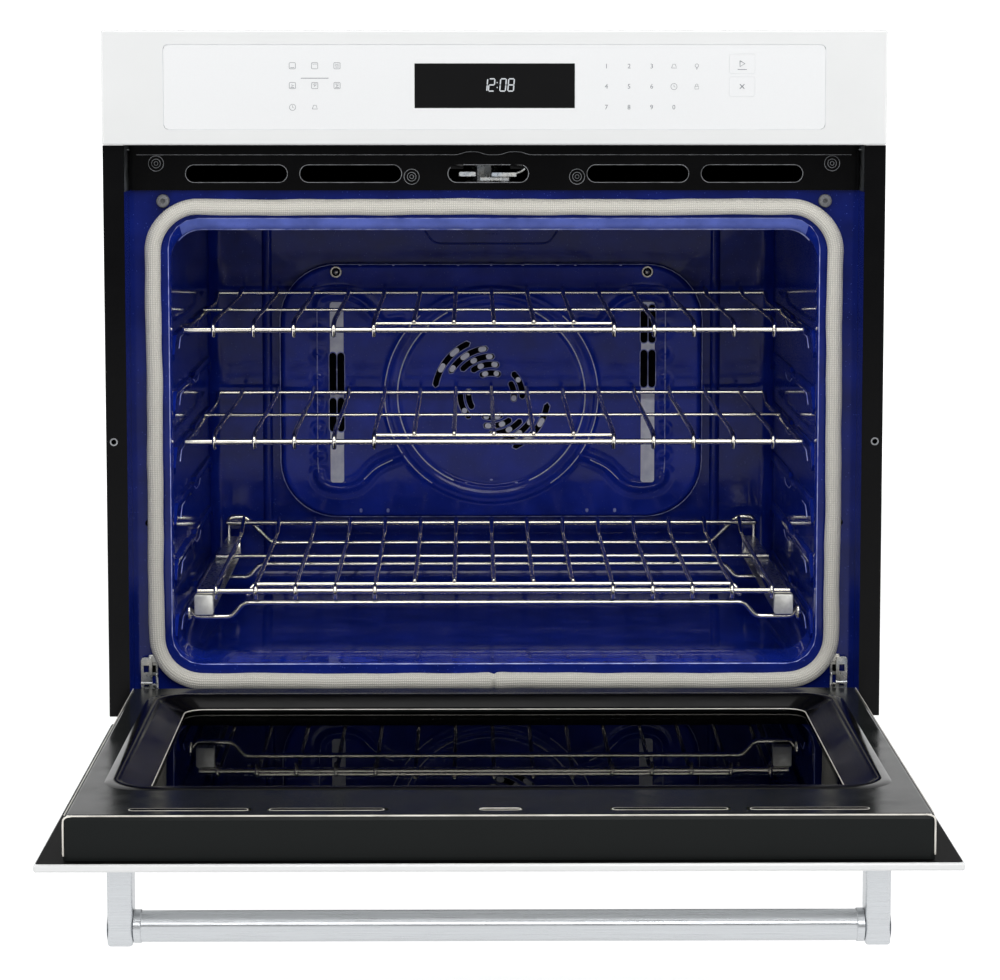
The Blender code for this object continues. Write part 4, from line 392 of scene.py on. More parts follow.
def rounded_rect(width, height, radius, steps=6):
    """Closed loop of a rectangle with round corners about the origin, as n x 2 points, anticlockwise."""
    radius = max(min(radius, width / 2 - 1e-4, height / 2 - 1e-4), 1e-3)
    angle = np.linspace(0, math.pi / 2, steps + 1)
    arc = radius * np.stack([np.cos(angle), np.sin(angle)], 1)
    corners = []
    for quarter, (sx, sy) in enumerate(((1, 1), (-1, 1), (-1, -1), (1, -1))):
        turn = quarter * math.pi / 2
        spin = np.array([[math.cos(turn), math.sin(turn)], [-math.sin(turn), math.cos(turn)]])
        corners.append(arc @ spin + (sx * (width / 2 - radius), sy * (height / 2 - radius)))
    return np.concatenate(corners)


def circle(radius, sides=12):
    """Points radius (cos a, sin a) at equal angles a, anticlockwise."""
    angle = np.arange(sides) * 2 * math.pi / sides
    return radius * np.stack([np.cos(angle), np.sin(angle)], 1)


def rounded_path(points, radius, steps=5, closed=False):
    """The polyline with each corner replaced by an arc-like quadratic curve that starts radius before it."""
    points = np.asarray(points, float)
    n = len(points)
    out = []
    for i, corner in enumerate(points):
        if not closed and i in (0, n - 1):
            out.append(corner[None])
            continue
        before, after = points[i - 1] - corner, points[(i + 1) % n] - corner
        reach = min(radius, np.linalg.norm(before) * 0.49, np.linalg.norm(after) * 0.49)
        a = corner + before / np.linalg.norm(before) * reach
        b = corner + after / np.linalg.norm(after) * reach
        t = np.linspace(0, 1, steps + 1)[:, None]
        out.append((1 - t) ** 2 * a + 2 * t * (1 - t) * corner + t ** 2 * b)
    return np.concatenate(out)


def skin(grid, close_rows=False, caps=True):
    """(points, faces) of a grid of points whose columns close. Rows close too, or the end rows are capped."""
    rows, columns = grid.shape[:2]
    last = rows if close_rows else rows - 1
    i, j = np.meshgrid(np.arange(last), np.arange(columns), indexing="ij")
    up, across = (i + 1) % rows, (j + 1) % columns
    quads = np.stack([i * columns + j, up * columns + j, up * columns + across, i * columns + across], -1)
    faces = quads.reshape(-1, 4).tolist()
    if caps and not close_rows:
        faces += [list(range(columns)), list(range((rows - 1) * columns, rows * columns))]
    return grid.reshape(-1, 3), faces


def carry(path, section, normal=(0, 0, 1), closed=False):
    """A closed section carried along a path: point = path + a * side + b * up, where side is square to the
    path and to normal, and up to both. Sections at the ends are flat caps."""
    path = np.asarray(path, float)
    if closed:
        tangent = np.roll(path, -1, 0) - np.roll(path, 1, 0)
    else:
        tangent = np.gradient(path, axis=0)
    tangent /= np.linalg.norm(tangent, axis=1, keepdims=True)
    side = np.cross(tangent, np.broadcast_to(np.asarray(normal, float), path.shape))
    side /= np.linalg.norm(side, axis=1, keepdims=True)
    up = np.cross(side, tangent)
    grid = path[:, None] + section[None, :, :1] * side[:, None] + section[None, :, 1:] * up[:, None]
    return skin(grid, close_rows=closed)


def wire(path, radius, normal=(0, 0, 1), closed=False, sides=10):
    """A round wire along a path. Open ends are rounded by three shrinking rings."""
    path = np.asarray(path, float)
    if closed:
        return carry(path, circle(radius, sides), normal, True)
    tangent = np.gradient(path, axis=0)
    tangent /= np.linalg.norm(tangent, axis=1, keepdims=True)
    side = np.cross(tangent, np.broadcast_to(np.asarray(normal, float), path.shape))
    side /= np.linalg.norm(side, axis=1, keepdims=True)
    up = np.cross(side, tangent)
    ease = np.array([0.0, 0.45, 0.8])
    first = path[0] - tangent[0] * radius * (1 - ease[:, None])
    last = path[-1] + tangent[-1] * radius * (1 - ease[::-1, None])
    size = np.sqrt(1 - (1 - ease) ** 2)
    size[0] = 0.12
    line = np.concatenate([first, path, last])
    scale = np.concatenate([size, np.ones(len(path)), size[::-1]]) * radius
    pad = ((3, 3), (0, 0))
    side, up = np.pad(side, pad, mode="edge"), np.pad(up, pad, mode="edge")
    ring = circle(1, sides)
    grid = line[:, None] + scale[:, None, None] * (ring[None, :, :1] * side[:, None] + ring[None, :, 1:] * up[:, None])
    return skin(grid)


def layers(centre, size, radius, levels, axis=1, steps=6):
    """A plate built of rounded-rectangle loops. size is its width and height across axis, and each level
    is (inset, position along axis). The first and last loops are capped."""
    width, height = size
    rows = []
    for inset, along in levels:
        loop = rounded_rect(width - 2 * inset, height - 2 * inset, radius - inset, steps) + centre
        rows.append(np.insert(loop, axis, along, axis=1))
    return skin(np.stack(rows))


def turned(centre, profile, axis=1, sides=24):
    """A profile of (radius, position along axis) turned about the axis through centre."""
    ring = circle(1, sides)
    rows = [np.insert(ring * max(radius, 1e-3) + centre, axis, along, axis=1) for radius, along in profile]
    return skin(np.stack(rows))


def open_door(points):
    """Swings points of the shut door open by a quarter turn about the hinge."""
    depth, height = points[:, 1], points[:, 2]
    return np.stack([points[:, 0], PIVOT[0] - (height - PIVOT[1]), PIVOT[1] + (depth - PIVOT[0])], 1)


def piece(name, parts, finishes, body, replaced=(), door=False, crease=35.0):
    """One object of several closed shapes. Each part is (points, faces) or (points, faces, finish index)."""
    points, faces, picks, start = [], [], [], 0
    for part in parts:
        shape, quads = part[0], part[1]
        points.append(open_door(shape) if door else shape)
        faces += [[corner + start for corner in face] for face in quads]
        picks += [part[2] if len(part) > 2 else 0] * len(quads)
        start += len(shape)
    points = (np.concatenate(points) + (0, PANEL_FACE, 0)) / 1000
    mesh = bpy.data.meshes.new(name)
    mesh.from_pydata(points.tolist(), [], faces)
    mesh.polygons.foreach_set("material_index", picks)
    shell = bmesh.new()
    shell.from_mesh(mesh)
    bmesh.ops.recalc_face_normals(shell, faces=shell.faces)
    shell.to_mesh(mesh)
    shell.free()
    mesh.shade_smooth()
    mesh.set_sharp_from_angle(angle=math.radians(crease))
    obj = bpy.data.objects.new(name, mesh)
    bpy.context.scene.collection.objects.link(obj)
    for material in finishes if isinstance(finishes, (list, tuple)) else [finishes]:
        mesh.materials.append(material)
    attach(obj, body)
    if replaced:
        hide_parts(*replaced)
    return obj


def screw_head(x, depth, z, radius):
    """A pan head facing the user, with a cross recess drawn as dark bars of painted shade. Finish 0 is the metal and 1
    the recess.
    """
    dome = [
        (radius, depth), (radius, depth - 0.6), (radius * 0.86, depth - 1.4), (radius * 0.5, depth - 1.9), (0, depth - 2.0)
    ]
    parts = [(*turned((x, z), dome), 0)]
    for size in ((radius, radius * 0.26), (radius * 0.26, radius)):
        parts.append((*layers((x, z), size, 0.2, [(0, depth - 1.0), (0, depth - 2.15)], steps=2), 1))
    return parts


# ---- pieces

MADE = {}  # finishes by name, filled by the first operator


def box_mm(node):
    """(low, high) of a CAD node in the lengths used here."""
    low, high = (np.array(corner) * 1000 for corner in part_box(node))
    return low - (0, PANEL_FACE, 0), high - (0, PANEL_FACE, 0)


FINISH_OF = {
    "white_enamel": ("control_panel", "door_skin"),
    "white_glass": ("touch_glass",),
    "black_glass": ("display_lens", "door_outer_glass"),
    "black_enamel": (
        "side_trim_left", "side_trim_right", "lower_trim", "vent_trim", "glass_spacer",
    ),
    "liner_enamel": ("door_liner",),
    "cobalt_enamel": ("oven_cavity", "rear_baffle", "convection_fan"),
    # The front frame wears the darker cobalt copy: painted shade.
    "cobalt_face_shaded": ("front_frame",),
    # The air duct wears the black as painted shade, so that the vent slots read dark.
    "black_coat_and_duct_shade": ("air_duct",),
    "galvanised_steel": (
        "side_panel_left", "side_panel_right", "top_cover", "rear_panel", "base_pan", "bay_floor",
        "blower_housing", "junction_box",
    ),
    "zinc_plate": (
        "latch_base", "latch_hook", "hinge_bracket_left", "hinge_bracket_right", "hinge_arm_left", "hinge_arm_right",
        "hinge_lock_left", "hinge_lock_right", "blower_wheel", "slide_outer_left", "slide_outer_right",
        "slide_middle_left", "slide_middle_right", "lamp_housing",
    ),
    "heater_sheath": ("bake_element", "broil_element", "convection_element", "temperature_probe"),
    "clear_glass": ("door_inner_glass", "door_middle_glass", "lamp_lens"),
    "mineral_wool": ("insulation_blanket", "door_insulation"),
    "circuit_board": ("control_board", "relay_board"),
    "motor_steel": ("fan_motor",),
    "grey_silicone": ("bumper_left", "bumper_right"),
    "woven_glass_fibre": ("door_gasket",),
    "brushed_aluminium": ("handle_bar", "handle_post_left", "handle_post_right"),
    "chrome_wire": ("rack_top", "rack_middle", "glide_rack", "glide_base_frame"),
}


class OVEN_OT_finishes(bpy.types.Operator):
    """Make the finishes and put them on the frame's own parts"""

    bl_idname = "oven.finishes"
    bl_label = "Finishes"

    def execute(self, context):
        MADE.update(make_materials(context.scene.oven_colours))
        for name, nodes in FINISH_OF.items():
            for node in nodes:
                slots = NODES[node].data.materials
                slots.clear()
                slots.append(MADE[name])
        return {"FINISHED"}


SEGMENTS = {  # lit bars of each digit: top, upper left, upper right, middle, lower left, lower right, bottom
    "0": "1110111", "1": "0010010", "2": "1011101", "8": "1111111",
}


def segment_digit(digit, x, z, height):
    """Lit bars of one digit, each a thin hexagonal bar, leaning a little to the right."""
    width, thick = height * 0.46, height * 0.1
    half, mid = width / 2, height / 2
    spans = (
        ((-half, height), (half, height)), ((-half, height), (-half, mid)), ((half, height), (half, mid)),
        ((-half, mid), (half, mid)), ((-half, mid), (-half, 0)), ((half, mid), (half, 0)), ((-half, 0), (half, 0)),
    )
    parts = []
    for lit, span in zip(SEGMENTS[digit], spans):
        if lit == "1":
            ends = np.array(span, float)
            along = (ends[1] - ends[0]) / np.linalg.norm(ends[1] - ends[0])
            across = np.array([-along[1], along[0]]) * thick / 2
            tip = along * thick / 2
            a, b = ends[0] + tip * 1.2, ends[1] - tip * 1.2
            loop = np.array([a - tip, a - across, b - across, b + tip, b + across, a + across])
            loop[:, 0] += loop[:, 1] * 0.08
            loop += (x, z)
            parts.append(skin(np.stack([np.insert(loop, 1, depth, axis=1) for depth in (0.30, 0.22)])))
    return parts


def number_mesh(text, x, z, height, depth):
    """A printed number from Blender's own font, as a thin flat plate centred on x and z."""
    curve = bpy.data.curves.new("number", "FONT")
    curve.body, curve.size, curve.extrude = text, height * 1.4, 0.03
    curve.align_x, curve.align_y = "CENTER", "CENTER"
    curve.resolution_u = 2
    holder = bpy.data.objects.new("number", curve)
    mesh = bpy.data.meshes.new_from_object(holder)
    flat = np.empty(len(mesh.vertices) * 3)
    mesh.vertices.foreach_get("co", flat)
    flat = flat.reshape(-1, 3)
    faces = [list(face.vertices) for face in mesh.polygons]
    bpy.data.objects.remove(holder)
    bpy.data.curves.remove(curve)
    bpy.data.meshes.remove(mesh)
    return np.stack([flat[:, 0] + x, depth - flat[:, 2], flat[:, 1] + z], 1), faces


def ink_bar(x, z, width, height=0.9):
    """A printed bar with round ends about x and z."""
    return layers((x, z), (width, height), height / 2, [(0, 0.50), (0, 0.42)], steps=2)


def ink_line(points, width=0.42):
    """A printed line of constant width along points (x, z)."""
    path = np.array([(x, 0.45, z) for x, z in points], float)
    return carry(path, np.array([(-1, -0.08), (1, -0.08), (1, 0.08), (-1, 0.08)]) * (width / 2, 0.5), normal=(0, 1, 0))


def key_mark(kind, x, z):
    """A small generic symbol for a cooking mode: an oven outline with bars, waves, a fan or a clock in it."""
    half, parts = 3.0, []
    outline = rounded_rect(2 * half, 2 * half, 0.8, 2) + (x, z)
    outline = np.concatenate([outline, outline[:1]])
    if kind in ("low", "high", "both", "wave", "fan_low", "fan_high", "fan_both"):
        parts.append(ink_line(outline))
    if kind in ("low", "both", "fan_low", "fan_both"):
        parts.append(ink_bar(x, z - 1.9, 3.8, 0.5))
    if kind in ("high", "both", "fan_high", "fan_both"):
        zigzag = [(x - 2 + i * 0.8, z + 1.9 - 0.7 * (i % 2)) for i in range(6)]
        parts.append(ink_line(zigzag, 0.36))
    if kind.startswith("fan"):
        for turn in (0, 2.094, 4.189):
            tip = np.array([math.cos(turn), math.sin(turn)])
            side = np.array([-tip[1], tip[0]])
            blade = [np.array([x, z]), np.array([x, z]) + tip * 0.7 + side * 0.3, np.array([x, z]) + tip * 1.3 - side * 0.2]
            parts.append(ink_line(blade, 0.4))
    if kind == "wave":
        for shift in (-1.2, 0.2, 1.6):
            parts.append(ink_line([(x - 1.8 + t * 0.6, z + shift - 0.3 + 0.35 * math.sin(t * 1.6)) for t in range(7)], 0.34))
    if kind == "clock":
        ring = circle(half, 20) + (x, z)
        parts.append(ink_line(np.concatenate([ring, ring[:1]])))
        parts.append(ink_line([(x, z + 1.9), (x, z), (x + 1.3, z - 0.6)], 0.4))
    if kind == "bell":
        parts.append(ink_line([
            (x - 2.6, z - 1.6), (x - 1.8, z), (x - 1.3, z + 2), (x + 1.3, z + 2), (x + 1.8, z), (x + 2.6, z - 1.6),
            (x - 2.6, z - 1.6),
        ]))
    if kind == "lamp":
        ring = circle(1.7, 14) + (x, z + 0.7)
        parts.append(ink_line(np.concatenate([ring, ring[:1]])))
        parts.append(ink_bar(x, z - 1.7, 1.8, 0.5))
        parts.append(ink_bar(x, z - 2.6, 1.2, 0.5))
    if kind == "lock":
        parts.append(ink_line([
            (x - 1.8, z + 0.3), (x - 1.8, z - 2.4), (x + 1.8, z - 2.4), (x + 1.8, z + 0.3), (x - 1.8, z + 0.3)
        ]))
        parts.append(ink_line([
            (x - 1.1, z + 0.4), (x - 1.1, z + 1.9), (x, z + 2.6), (x + 1.1, z + 1.9), (x + 1.1, z + 0.4)
        ]))
    return parts


class OVEN_OT_panel(bpy.types.Operator):
    """Make the control panel's printed keys, clock and glass edge"""

    bl_idname = "oven.panel"
    bl_label = "Control panel"

    def execute(self, context):
        sizes = context.scene.oven_sizes
        high = sizes.key_height * 1000
        ink = []
        for i, kind in enumerate(("low", "high", "wave")):
            ink += key_mark(kind, -195.8 + i * 21.6, 698.6)
        ink.append(ink_bar(-174.2, 686.6, 27, 0.6))
        for i, kind in enumerate(("fan_low", "fan_high", "fan_both")):
            ink += key_mark(kind, -195.8 + i * 21.6, 679.5)
        for i, kind in enumerate(("clock", "bell")):
            ink += key_mark(kind, -195.8 + i * 21.6, 658.5)
        columns, rows = (108.2, 130.2, 152.1), (698.0, 678.5, 658.4)
        for number in range(9):
            ink.append(number_mesh(str(number + 1), columns[number % 3], rows[number // 3], high, 0.48))
        ink.append(number_mesh("0", 173.7, rows[2], high, 0.48))
        for kind, x, z in (("bell", 173.7, 698), ("lamp", 195.8, 698), ("clock", 173.7, 678.5), ("lock", 195.8, 678.5)):
            ink += key_mark(kind, x, z)
        x = 239.8
        ink.append(ink_line([(x - 2.2, 703.4), (x - 2.2, 697.8), (x + 2.6, 700.6), (x - 2.2, 703.4)], 0.8))
        ink.append(ink_bar(x, 695.0, 9.0, 0.6))
        ink.append(ink_line([(x - 2.2, 680.8), (x + 2.2, 676.4)], 0.8))
        ink.append(ink_line([(x - 2.2, 676.4), (x + 2.2, 680.8)], 0.8))
        piece("key_marks", ink, MADE["printed_ink"], "chassis")

        # The ring round the glass is a painted shadow line; the two small frames round keys are print.
        frames = []
        for z in (700.5, 678.5):
            frames.append(carry(
                np.insert(rounded_rect(25, 19, 2, 4) + (x, z), 1, 0.46, axis=1),
                circle(0.16, 4), (0, 1, 0), closed=True,
            ))
        edge = np.insert(rounded_rect(642.2, 82.7, 5.2, 6) + (0, 678.0), 1, 0.35, axis=1)
        frames.append(carry(edge, circle(0.42, 6), (0, 1, 0), closed=True))
        piece("glass_edge", frames, MADE["shadow_line_and_key_frames"], "chassis")

        high = sizes.digit_height * 1000
        lit = []
        for digit, x in (("1", -10.4), ("2", -3.4), ("0", 7.6), ("8", 15.4)):
            lit += segment_digit(digit, x, 674.2, high)
        for z in (677.6, 682.4):
            lit.append(layers((2.4, z), (1.1, 1.1), 0.3, [(0, 0.30), (0, 0.22)], steps=2))
        piece("clock_digits", lit, MADE["clock_segment"], "chassis")
        return {"FINISHED"}


class OVEN_OT_trim(bpy.types.Operator):
    """Make the screws, slot edges and door catch details of the black trims"""

    bl_idname = "oven.trim"
    bl_label = "Trims"

    def execute(self, context):
        radius = context.scene.oven_sizes.screw_radius * 1000
        face = 45.0
        parts = []
        # Each screw has a dark centre of painted shade in its recess and thin grey rings of painted highlight on its
        # rims.
        for x, z in ((-333, 603), (333, 603), (-81.5, 590), (81.5, 590)):
            for rim, tone in ((7.6, 0), (radius, 0), (radius * 0.5, 1)):
                out = 0.03 + 0.02 * (rim < 7) + 0.02 * tone
                parts.append((*turned((x, z), [(rim, face + 0.5), (rim, face - out), (0, face - out)]), tone))
            for rim in (7.5, radius * 0.96, radius * 0.42):
                ring = np.insert(circle(rim, 24) + (x, z), 1, face + 0.24, axis=1)
                parts.append((*carry(ring, circle(0.38, 6), (0, 1, 0), closed=True), 2))
        for x in (-345, 345):
            parts += screw_head(x, 52.0, 245, 3.4)
        piece("trim_screws", parts, [MADE["black_enamel"], MADE["slot_shadow"], MADE["edge_highlight_grey"]], "chassis")

        # Thin grey lines of painted highlight round the vent slots, along the trim's top bend and the side trims' inner
        # folds, and grey discs in the side trims' holes.
        edges = []
        for centre in (-254, -141.5, 141.5, 254):
            edges.append(carry(
                np.insert(rounded_rect(100.4, 17.4, 8.6, 8) + (centre, 593), 1, face + 0.33, axis=1),
                circle(0.45, 6), (0, 1, 0), closed=True,
            ))
        edges.append(carry(
            np.insert(rounded_rect(79.5, 17.4, 8.6, 8) + (-6, 593), 1, face + 0.48, axis=1),
            circle(0.6, 6), (0, 1, 0), closed=True,
        ))
        bead = [(-352, face + 0.28, 611.5), (-36, face + 0.28, 611.5), (-28, face + 0.28, 614.5), (-16, face + 0.28, 614.5),
                (-8, face + 0.28, 611.5), (6, face + 0.28, 611.5), (14, face + 0.28, 614.5), (26, face + 0.28, 614.5),
                (34, face + 0.28, 611.5), (352, face + 0.28, 611.5)]
        edges.append(wire(rounded_path(bead, 4), 0.4, (0, 1, 0), sides=6))
        for side in (-1, 1):
            x = side * 360.9
            edges.append(wire([(x, 7.4, 62), (x, 7.4, 617)], 0.4, (0, 1, 0), sides=6))
            edges.append(turned((side * 373.5, 331.5), [(3.9, 7.2), (3.9, 6.86), (2.6, 6.82), (2.5, 7.2)], sides=20))
        piece("trim_edges", edges, MADE["edge_highlight_grey"], "chassis")

        catch = [
            layers((-26.5, 592.5), (17, 5.0), 1.5, [(0, 47.2), (0, 45.6), (0.4, 45.2)], steps=3),
            layers((9.5, 592.0), (25, 4.6), 1.2, [(0, 47.2), (0, 45.6), (0.4, 45.2)], steps=3),
            wire(rounded_path([(19, 46.6, 592.6), (25, 46.6, 594.4), (29.5, 46.6, 597.6)], 3), 1.3, (0, 1, 0)),
        ]
        piece("catch_link", catch, MADE["zinc_plate"], "chassis")
        tabs = [layers((x, 600.0), (13, 5.0), 1.0, [(0, 46.9), (0, 45.1), (0.4, 44.9)], steps=3) for x in (-37, 22)]
        piece("catch_tabs", tabs, MADE["black_enamel"], "chassis")

        for side, word in ((-1, "left"), (1, "right")):
            x = side * 327
            rings = [(6.5, 51.9), (6.5, 47.4), (6.0, 46.2), (4.6, 45.4), (2.8, 45.2), (2.1, 46.0), (2.0, 49.0), (0, 49.4)]
            piece(
                f"bumper_{word}_moulded", [turned((x, 566), rings)], MADE["grey_silicone"], "chassis",
                [f"bumper_{word}"],
            )
        return {"FINISHED"}


class OVEN_OT_seal(bpy.types.Operator):
    """Make the knitted door seal"""

    bl_idname = "oven.seal"
    bl_label = "Door seal"

    def execute(self, context):
        """Point = centre line(s) + r (side cos v + up sin v); r and the centre line waver by sines of s, and both
        pinch where the tube's ends are stitched together at the bottom."""
        sizes = context.scene.oven_sizes
        radius, waver = sizes.seal_radius * 1000, sizes.seal_wave * 1000
        loop = rounded_rect(674, 474, 45, 40) + (0, 323.2)
        steps = np.linalg.norm(np.roll(loop, -1, 0) - loop, axis=1)
        reach = np.concatenate([[0], np.cumsum(steps)])
        count = 900
        s = np.linspace(0, reach[-1], count + 1)
        closed = np.concatenate([loop, loop[:1]])
        line = np.stack([np.interp(s, reach, closed[:, k]) for k in (0, 1)], 1)
        tangent = np.gradient(line, axis=0)
        tangent[0] = tangent[-1] = tangent[0] + tangent[-1]
        tangent /= np.linalg.norm(tangent, axis=1, keepdims=True)
        outward = np.stack([tangent[:, 1], -tangent[:, 0]], 1)
        turn = 2 * math.pi * s / reach[-1]
        drift = waver * (np.sin(7 * turn) + 0.6 * np.sin(17 * turn + 1.3) + 0.4 * np.sin(41 * turn + 0.4))
        line = line + outward * drift[:, None]
        gap = np.hypot(line[:, 0] + 1, line[:, 1] - 86.2)
        pinch = 1 - 0.22 * np.exp(-(gap / 1.8) ** 2) + 0.07 * np.exp(-((gap - 8) / 7) ** 2)
        v = np.linspace(0, 2 * math.pi, 25)
        swell = (1 + 0.02 * np.sin(29 * turn))[:, None] * pinch[:, None] * radius
        reach_out = swell * np.cos(v)[None]
        forward = swell * np.sin(v)[None]
        grid = np.stack([
            line[:, :1] + outward[:, :1] * reach_out,
            43.8 - forward * np.ones_like(reach_out) * 0.99,
            line[:, 1:] + outward[:, 1:] * reach_out,
        ], -1)
        tube, faces = skin(grid[:-1, :-1], close_rows=True)
        stitches = []
        for lean in (-2.0, 0.0, 2.0):
            path = [
                (lean - 1.5, 43.8 - radius * 0.9, 83.0), (lean - 1, 43.8 - radius - 0.3, 86.2),
                (lean - 0.5, 43.8 - radius * 0.9, 89.4),
            ]
            stitches.append(wire(rounded_path(path, 1.5, 3), 0.45, (1, 0, 0), sides=6))
        obj = piece(
            "knitted_seal", [(tube, faces), *stitches], MADE["woven_glass_fibre"], "chassis",
            ["door_gasket"], crease=80,
        )
        self.add_cloth_coordinates(obj.data, s, v, radius, count)
        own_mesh(obj)
        return {"FINISHED"}

    def add_cloth_coordinates(self, mesh, s, v, radius, count):
        """UV in metres: U along the seal, V round it. A face's corners past the seam carry on counting."""
        columns = len(v) - 1
        index = np.empty(len(mesh.loops), np.int64)
        mesh.loops.foreach_get("vertex_index", index)
        u_row, v_column = index // columns, index % columns
        start = np.empty(len(mesh.polygons), np.int64)
        mesh.polygons.foreach_get("loop_start", start)
        total = np.empty(len(mesh.polygons), np.int64)
        mesh.polygons.foreach_get("loop_total", total)
        face = np.repeat(np.arange(len(total)), total)
        low_row = np.minimum.reduceat(u_row, start)[face]
        high_row = np.maximum.reduceat(u_row, start)[face]
        low_column = np.minimum.reduceat(v_column, start)[face]
        high_column = np.maximum.reduceat(v_column, start)[face]
        u_row = np.where((high_row - low_row > 2) & (u_row == 0), count, u_row)
        v_column = np.where((high_column - low_column > 2) & (v_column == 0), columns, v_column)
        inside = index < count * columns
        place_u = np.where(inside, s[np.clip(u_row, 0, count)] / 1000, 0)
        place_v = np.where(inside, v[np.clip(v_column, 0, columns)] * radius / 1000, 0)
        layer = mesh.uv_layers.new(name="metres")
        layer.data.foreach_set("uv", np.stack([place_u, place_v], 1).astype(np.float32).ravel())


class OVEN_OT_cavity(bpy.types.Operator):
    """Make the enamelled oven cavity with its rolled mouth, fan well, rack guides and pressed beads"""

    bl_idname = "oven.cavity"
    bl_label = "Oven cavity"

    def execute(self, context):
        self.make_shell()
        self.make_guides()
        return {"FINISHED"}

    def make_shell(self):
        """Rows of rounded rectangles from the fan well's back to the mouth, then the same rows 1.2 mm outside them
        back again. Each row is (depth, side inset, bottom inset, top inset, corner radius)."""
        inner = [
            (547.0, 26, 26, 26, 8), (546.4, 15, 15, 15, 15), (543.0, 7, 7, 7, 20), (537.0, 2.5, 2.5, 2.5, 24),
            (528.0, 0, 0, 0, 28), (400.0, 0, 0, 0, 30), (250.0, 0, 0, 0, 30), (130.0, 0, 0, 0, 30),
            (126.0, 0, 0.6, 0, 30), (122.0, 0, 2.2, 0, 30), (116.0, 0, 2.6, 0, 30), (88.0, 0, 1.6, 0, 30),
            (80.0, 0.2, 1.2, 1.5, 30), (74.0, 1.4, 0.8, 9.0, 30), (70.0, 2.0, 0.5, 11.6, 30), (66.0, 2.0, 0.2, 11.2, 30),
            (60.0, 1.2, 0, 6.8, 30), (56.0, 0.5, 0, 2.6, 30), (53.9, 0, 0, 0.6, 30),
        ]
        steps, wall = 14, 1.15
        rows = []
        for depth, side, bottom, top, radius in inner:
            loop = rounded_rect(646 - 2 * side, 447.5 - bottom - top, radius, steps)
            rows.append(np.insert(loop + (0, 101.5 + bottom + (447.5 - bottom - top) / 2), 1, depth, axis=1))
        rows = np.stack(rows)
        outer = []
        for depth, radius in ((548.2, 30), (400, 31), (53.7, 31)):
            loop = rounded_rect(646 + 2 * wall, 447.5 + 2 * wall, radius, steps)
            outer.append(np.insert(loop + (0, 325.25), 1, depth, axis=1))
        bearing = np.arctan2(rows[0][:, 2] - 324.0, rows[0][:, 0])
        ring = np.stack([np.cos(bearing), np.sin(bearing)], 1)

        def well(radius, depth):
            """A circle about the fan's axis, with its points on the bearings of the outermost row's points."""
            return np.insert(ring * radius + (0, 324.0), 1, depth, axis=1)

        grid = np.stack([
            well(60, 567.0), well(112, 566.8), well(117, 565.0), well(118, 561.0), well(118, 550.0), well(120, 547.4),
            well(124, 547.0), *rows, *outer[::-1], well(125, 548.2), well(119.2, 550.0), well(119.2, 562.0),
            well(113, 568.1), well(60, 568.2),
        ])
        shell = piece(
            "cavity_shell", [skin(grid)], [MADE["cobalt_enamel"], MADE["cobalt_lip_reflection"]], "chassis",
            ["oven_cavity"], crease=50,
        ).data
        # Faces at the top of the mouth's lip take the pale violet copy, a painted reflection of the seal.
        centre = np.empty(len(shell.polygons) * 3)
        shell.polygons.foreach_get("center", centre)
        x, y, z = centre.reshape(-1, 3).T * 1000
        lip_reflection_faces = (y - PANEL_FACE < 71) & (z > 534) & (z < 549.1) & (np.abs(x) < 312)
        shell.polygons.foreach_set("material_index", lip_reflection_faces.astype(np.int32))

    def make_guides(self):
        """Half-round ridges carried along each rack level with dropped front ends, and upright beads on the back."""
        ridge = np.array([(-3.2, -3.0), (3.2, -3.0), (3.6, 0), (2.6, 5.6), (1.2, 7.4), (-1.2, 7.4), (-2.6, 5.6), (-3.6, 0)])
        parts = []
        for side in (-1, 1):
            wall = side * 323.0
            for level in range(6):
                z = 433 - 57 * level - 6.9
                path = rounded_path([
                    (wall, 79, z - 17), (wall, 97, z), (wall, 250, z), (wall, 262, z - 4), (wall, 300, z - 4),
                    (wall, 312, z), (wall, 508, z), (wall, 522, z - 13),
                ], 9, 4)
                section = ridge * (1, -1) if side > 0 else ridge
                parts.append(carry(path, section[:, ::-1], normal=(1, 0, 0)))
            parts.append(layers(
                (side * 257.5, 322), (11, 396), 5.4,
                [(-0.6, 548), (0, 546.6), (1.2, 544.6), (3.4, 543.4), (4.8, 543.2)], steps=5,
            ))
        label = np.array([(-76, 546.8, 512), (-66, 546.8, 497), (66, 546.8, 497), (76, 546.8, 512)])
        parts.append(wire(rounded_path(label, 8), 1.1, (0, 1, 0), sides=8))
        for x in (-6, -2, 2, 6):
            parts.append(layers((x, 508), (1.6, 1.6), 0.8, [(0, 547), (0, 546), (0.5, 545.7)], steps=3))
        piece("rack_guides", parts, MADE["cobalt_enamel"], "chassis", crease=60)
        # Thin pale lines of painted highlight along the guides' noses and steps, the mouth's rim and the top of the
        # lip.
        lines = []
        for side in (-1, 1):
            for level in range(6):
                z = 433 - 57 * level - 6.9
                nose = [(side * 315.8, 84, z - 9), (side * 315.6, 97, z + 1), (side * 315.6, 128, z + 1)]
                lines.append(wire(rounded_path(nose, 6, 4), 0.5, (1, 0, 0), sides=6))
                step = [(side * 315.8, depth, height) for depth, height in (
                    (246, z + 1), (264, z - 4), (298, z - 4), (314, z + 1)
                )]
                lines.append(wire(rounded_path(step, 6, 4), 0.45, (1, 0, 0), sides=6))
        mouth = np.insert(rounded_rect(646, 447.5, 30, 14) + (0, 325.25), 1, 53.6, axis=1)
        lines.append(carry(mouth, circle(0.75, 8), (0, 1, 0), closed=True))
        lip = np.insert(rounded_rect(640, 434.6, 29, 14) + (0, 319.6), 1, 70.5, axis=1)
        top_only = lip[lip[:, 2] > 525]
        lines.append(wire(top_only, 0.6, (0, 1, 0), sides=6))
        piece("cavity_edges", lines, MADE["pale_cobalt_highlight"], "chassis")


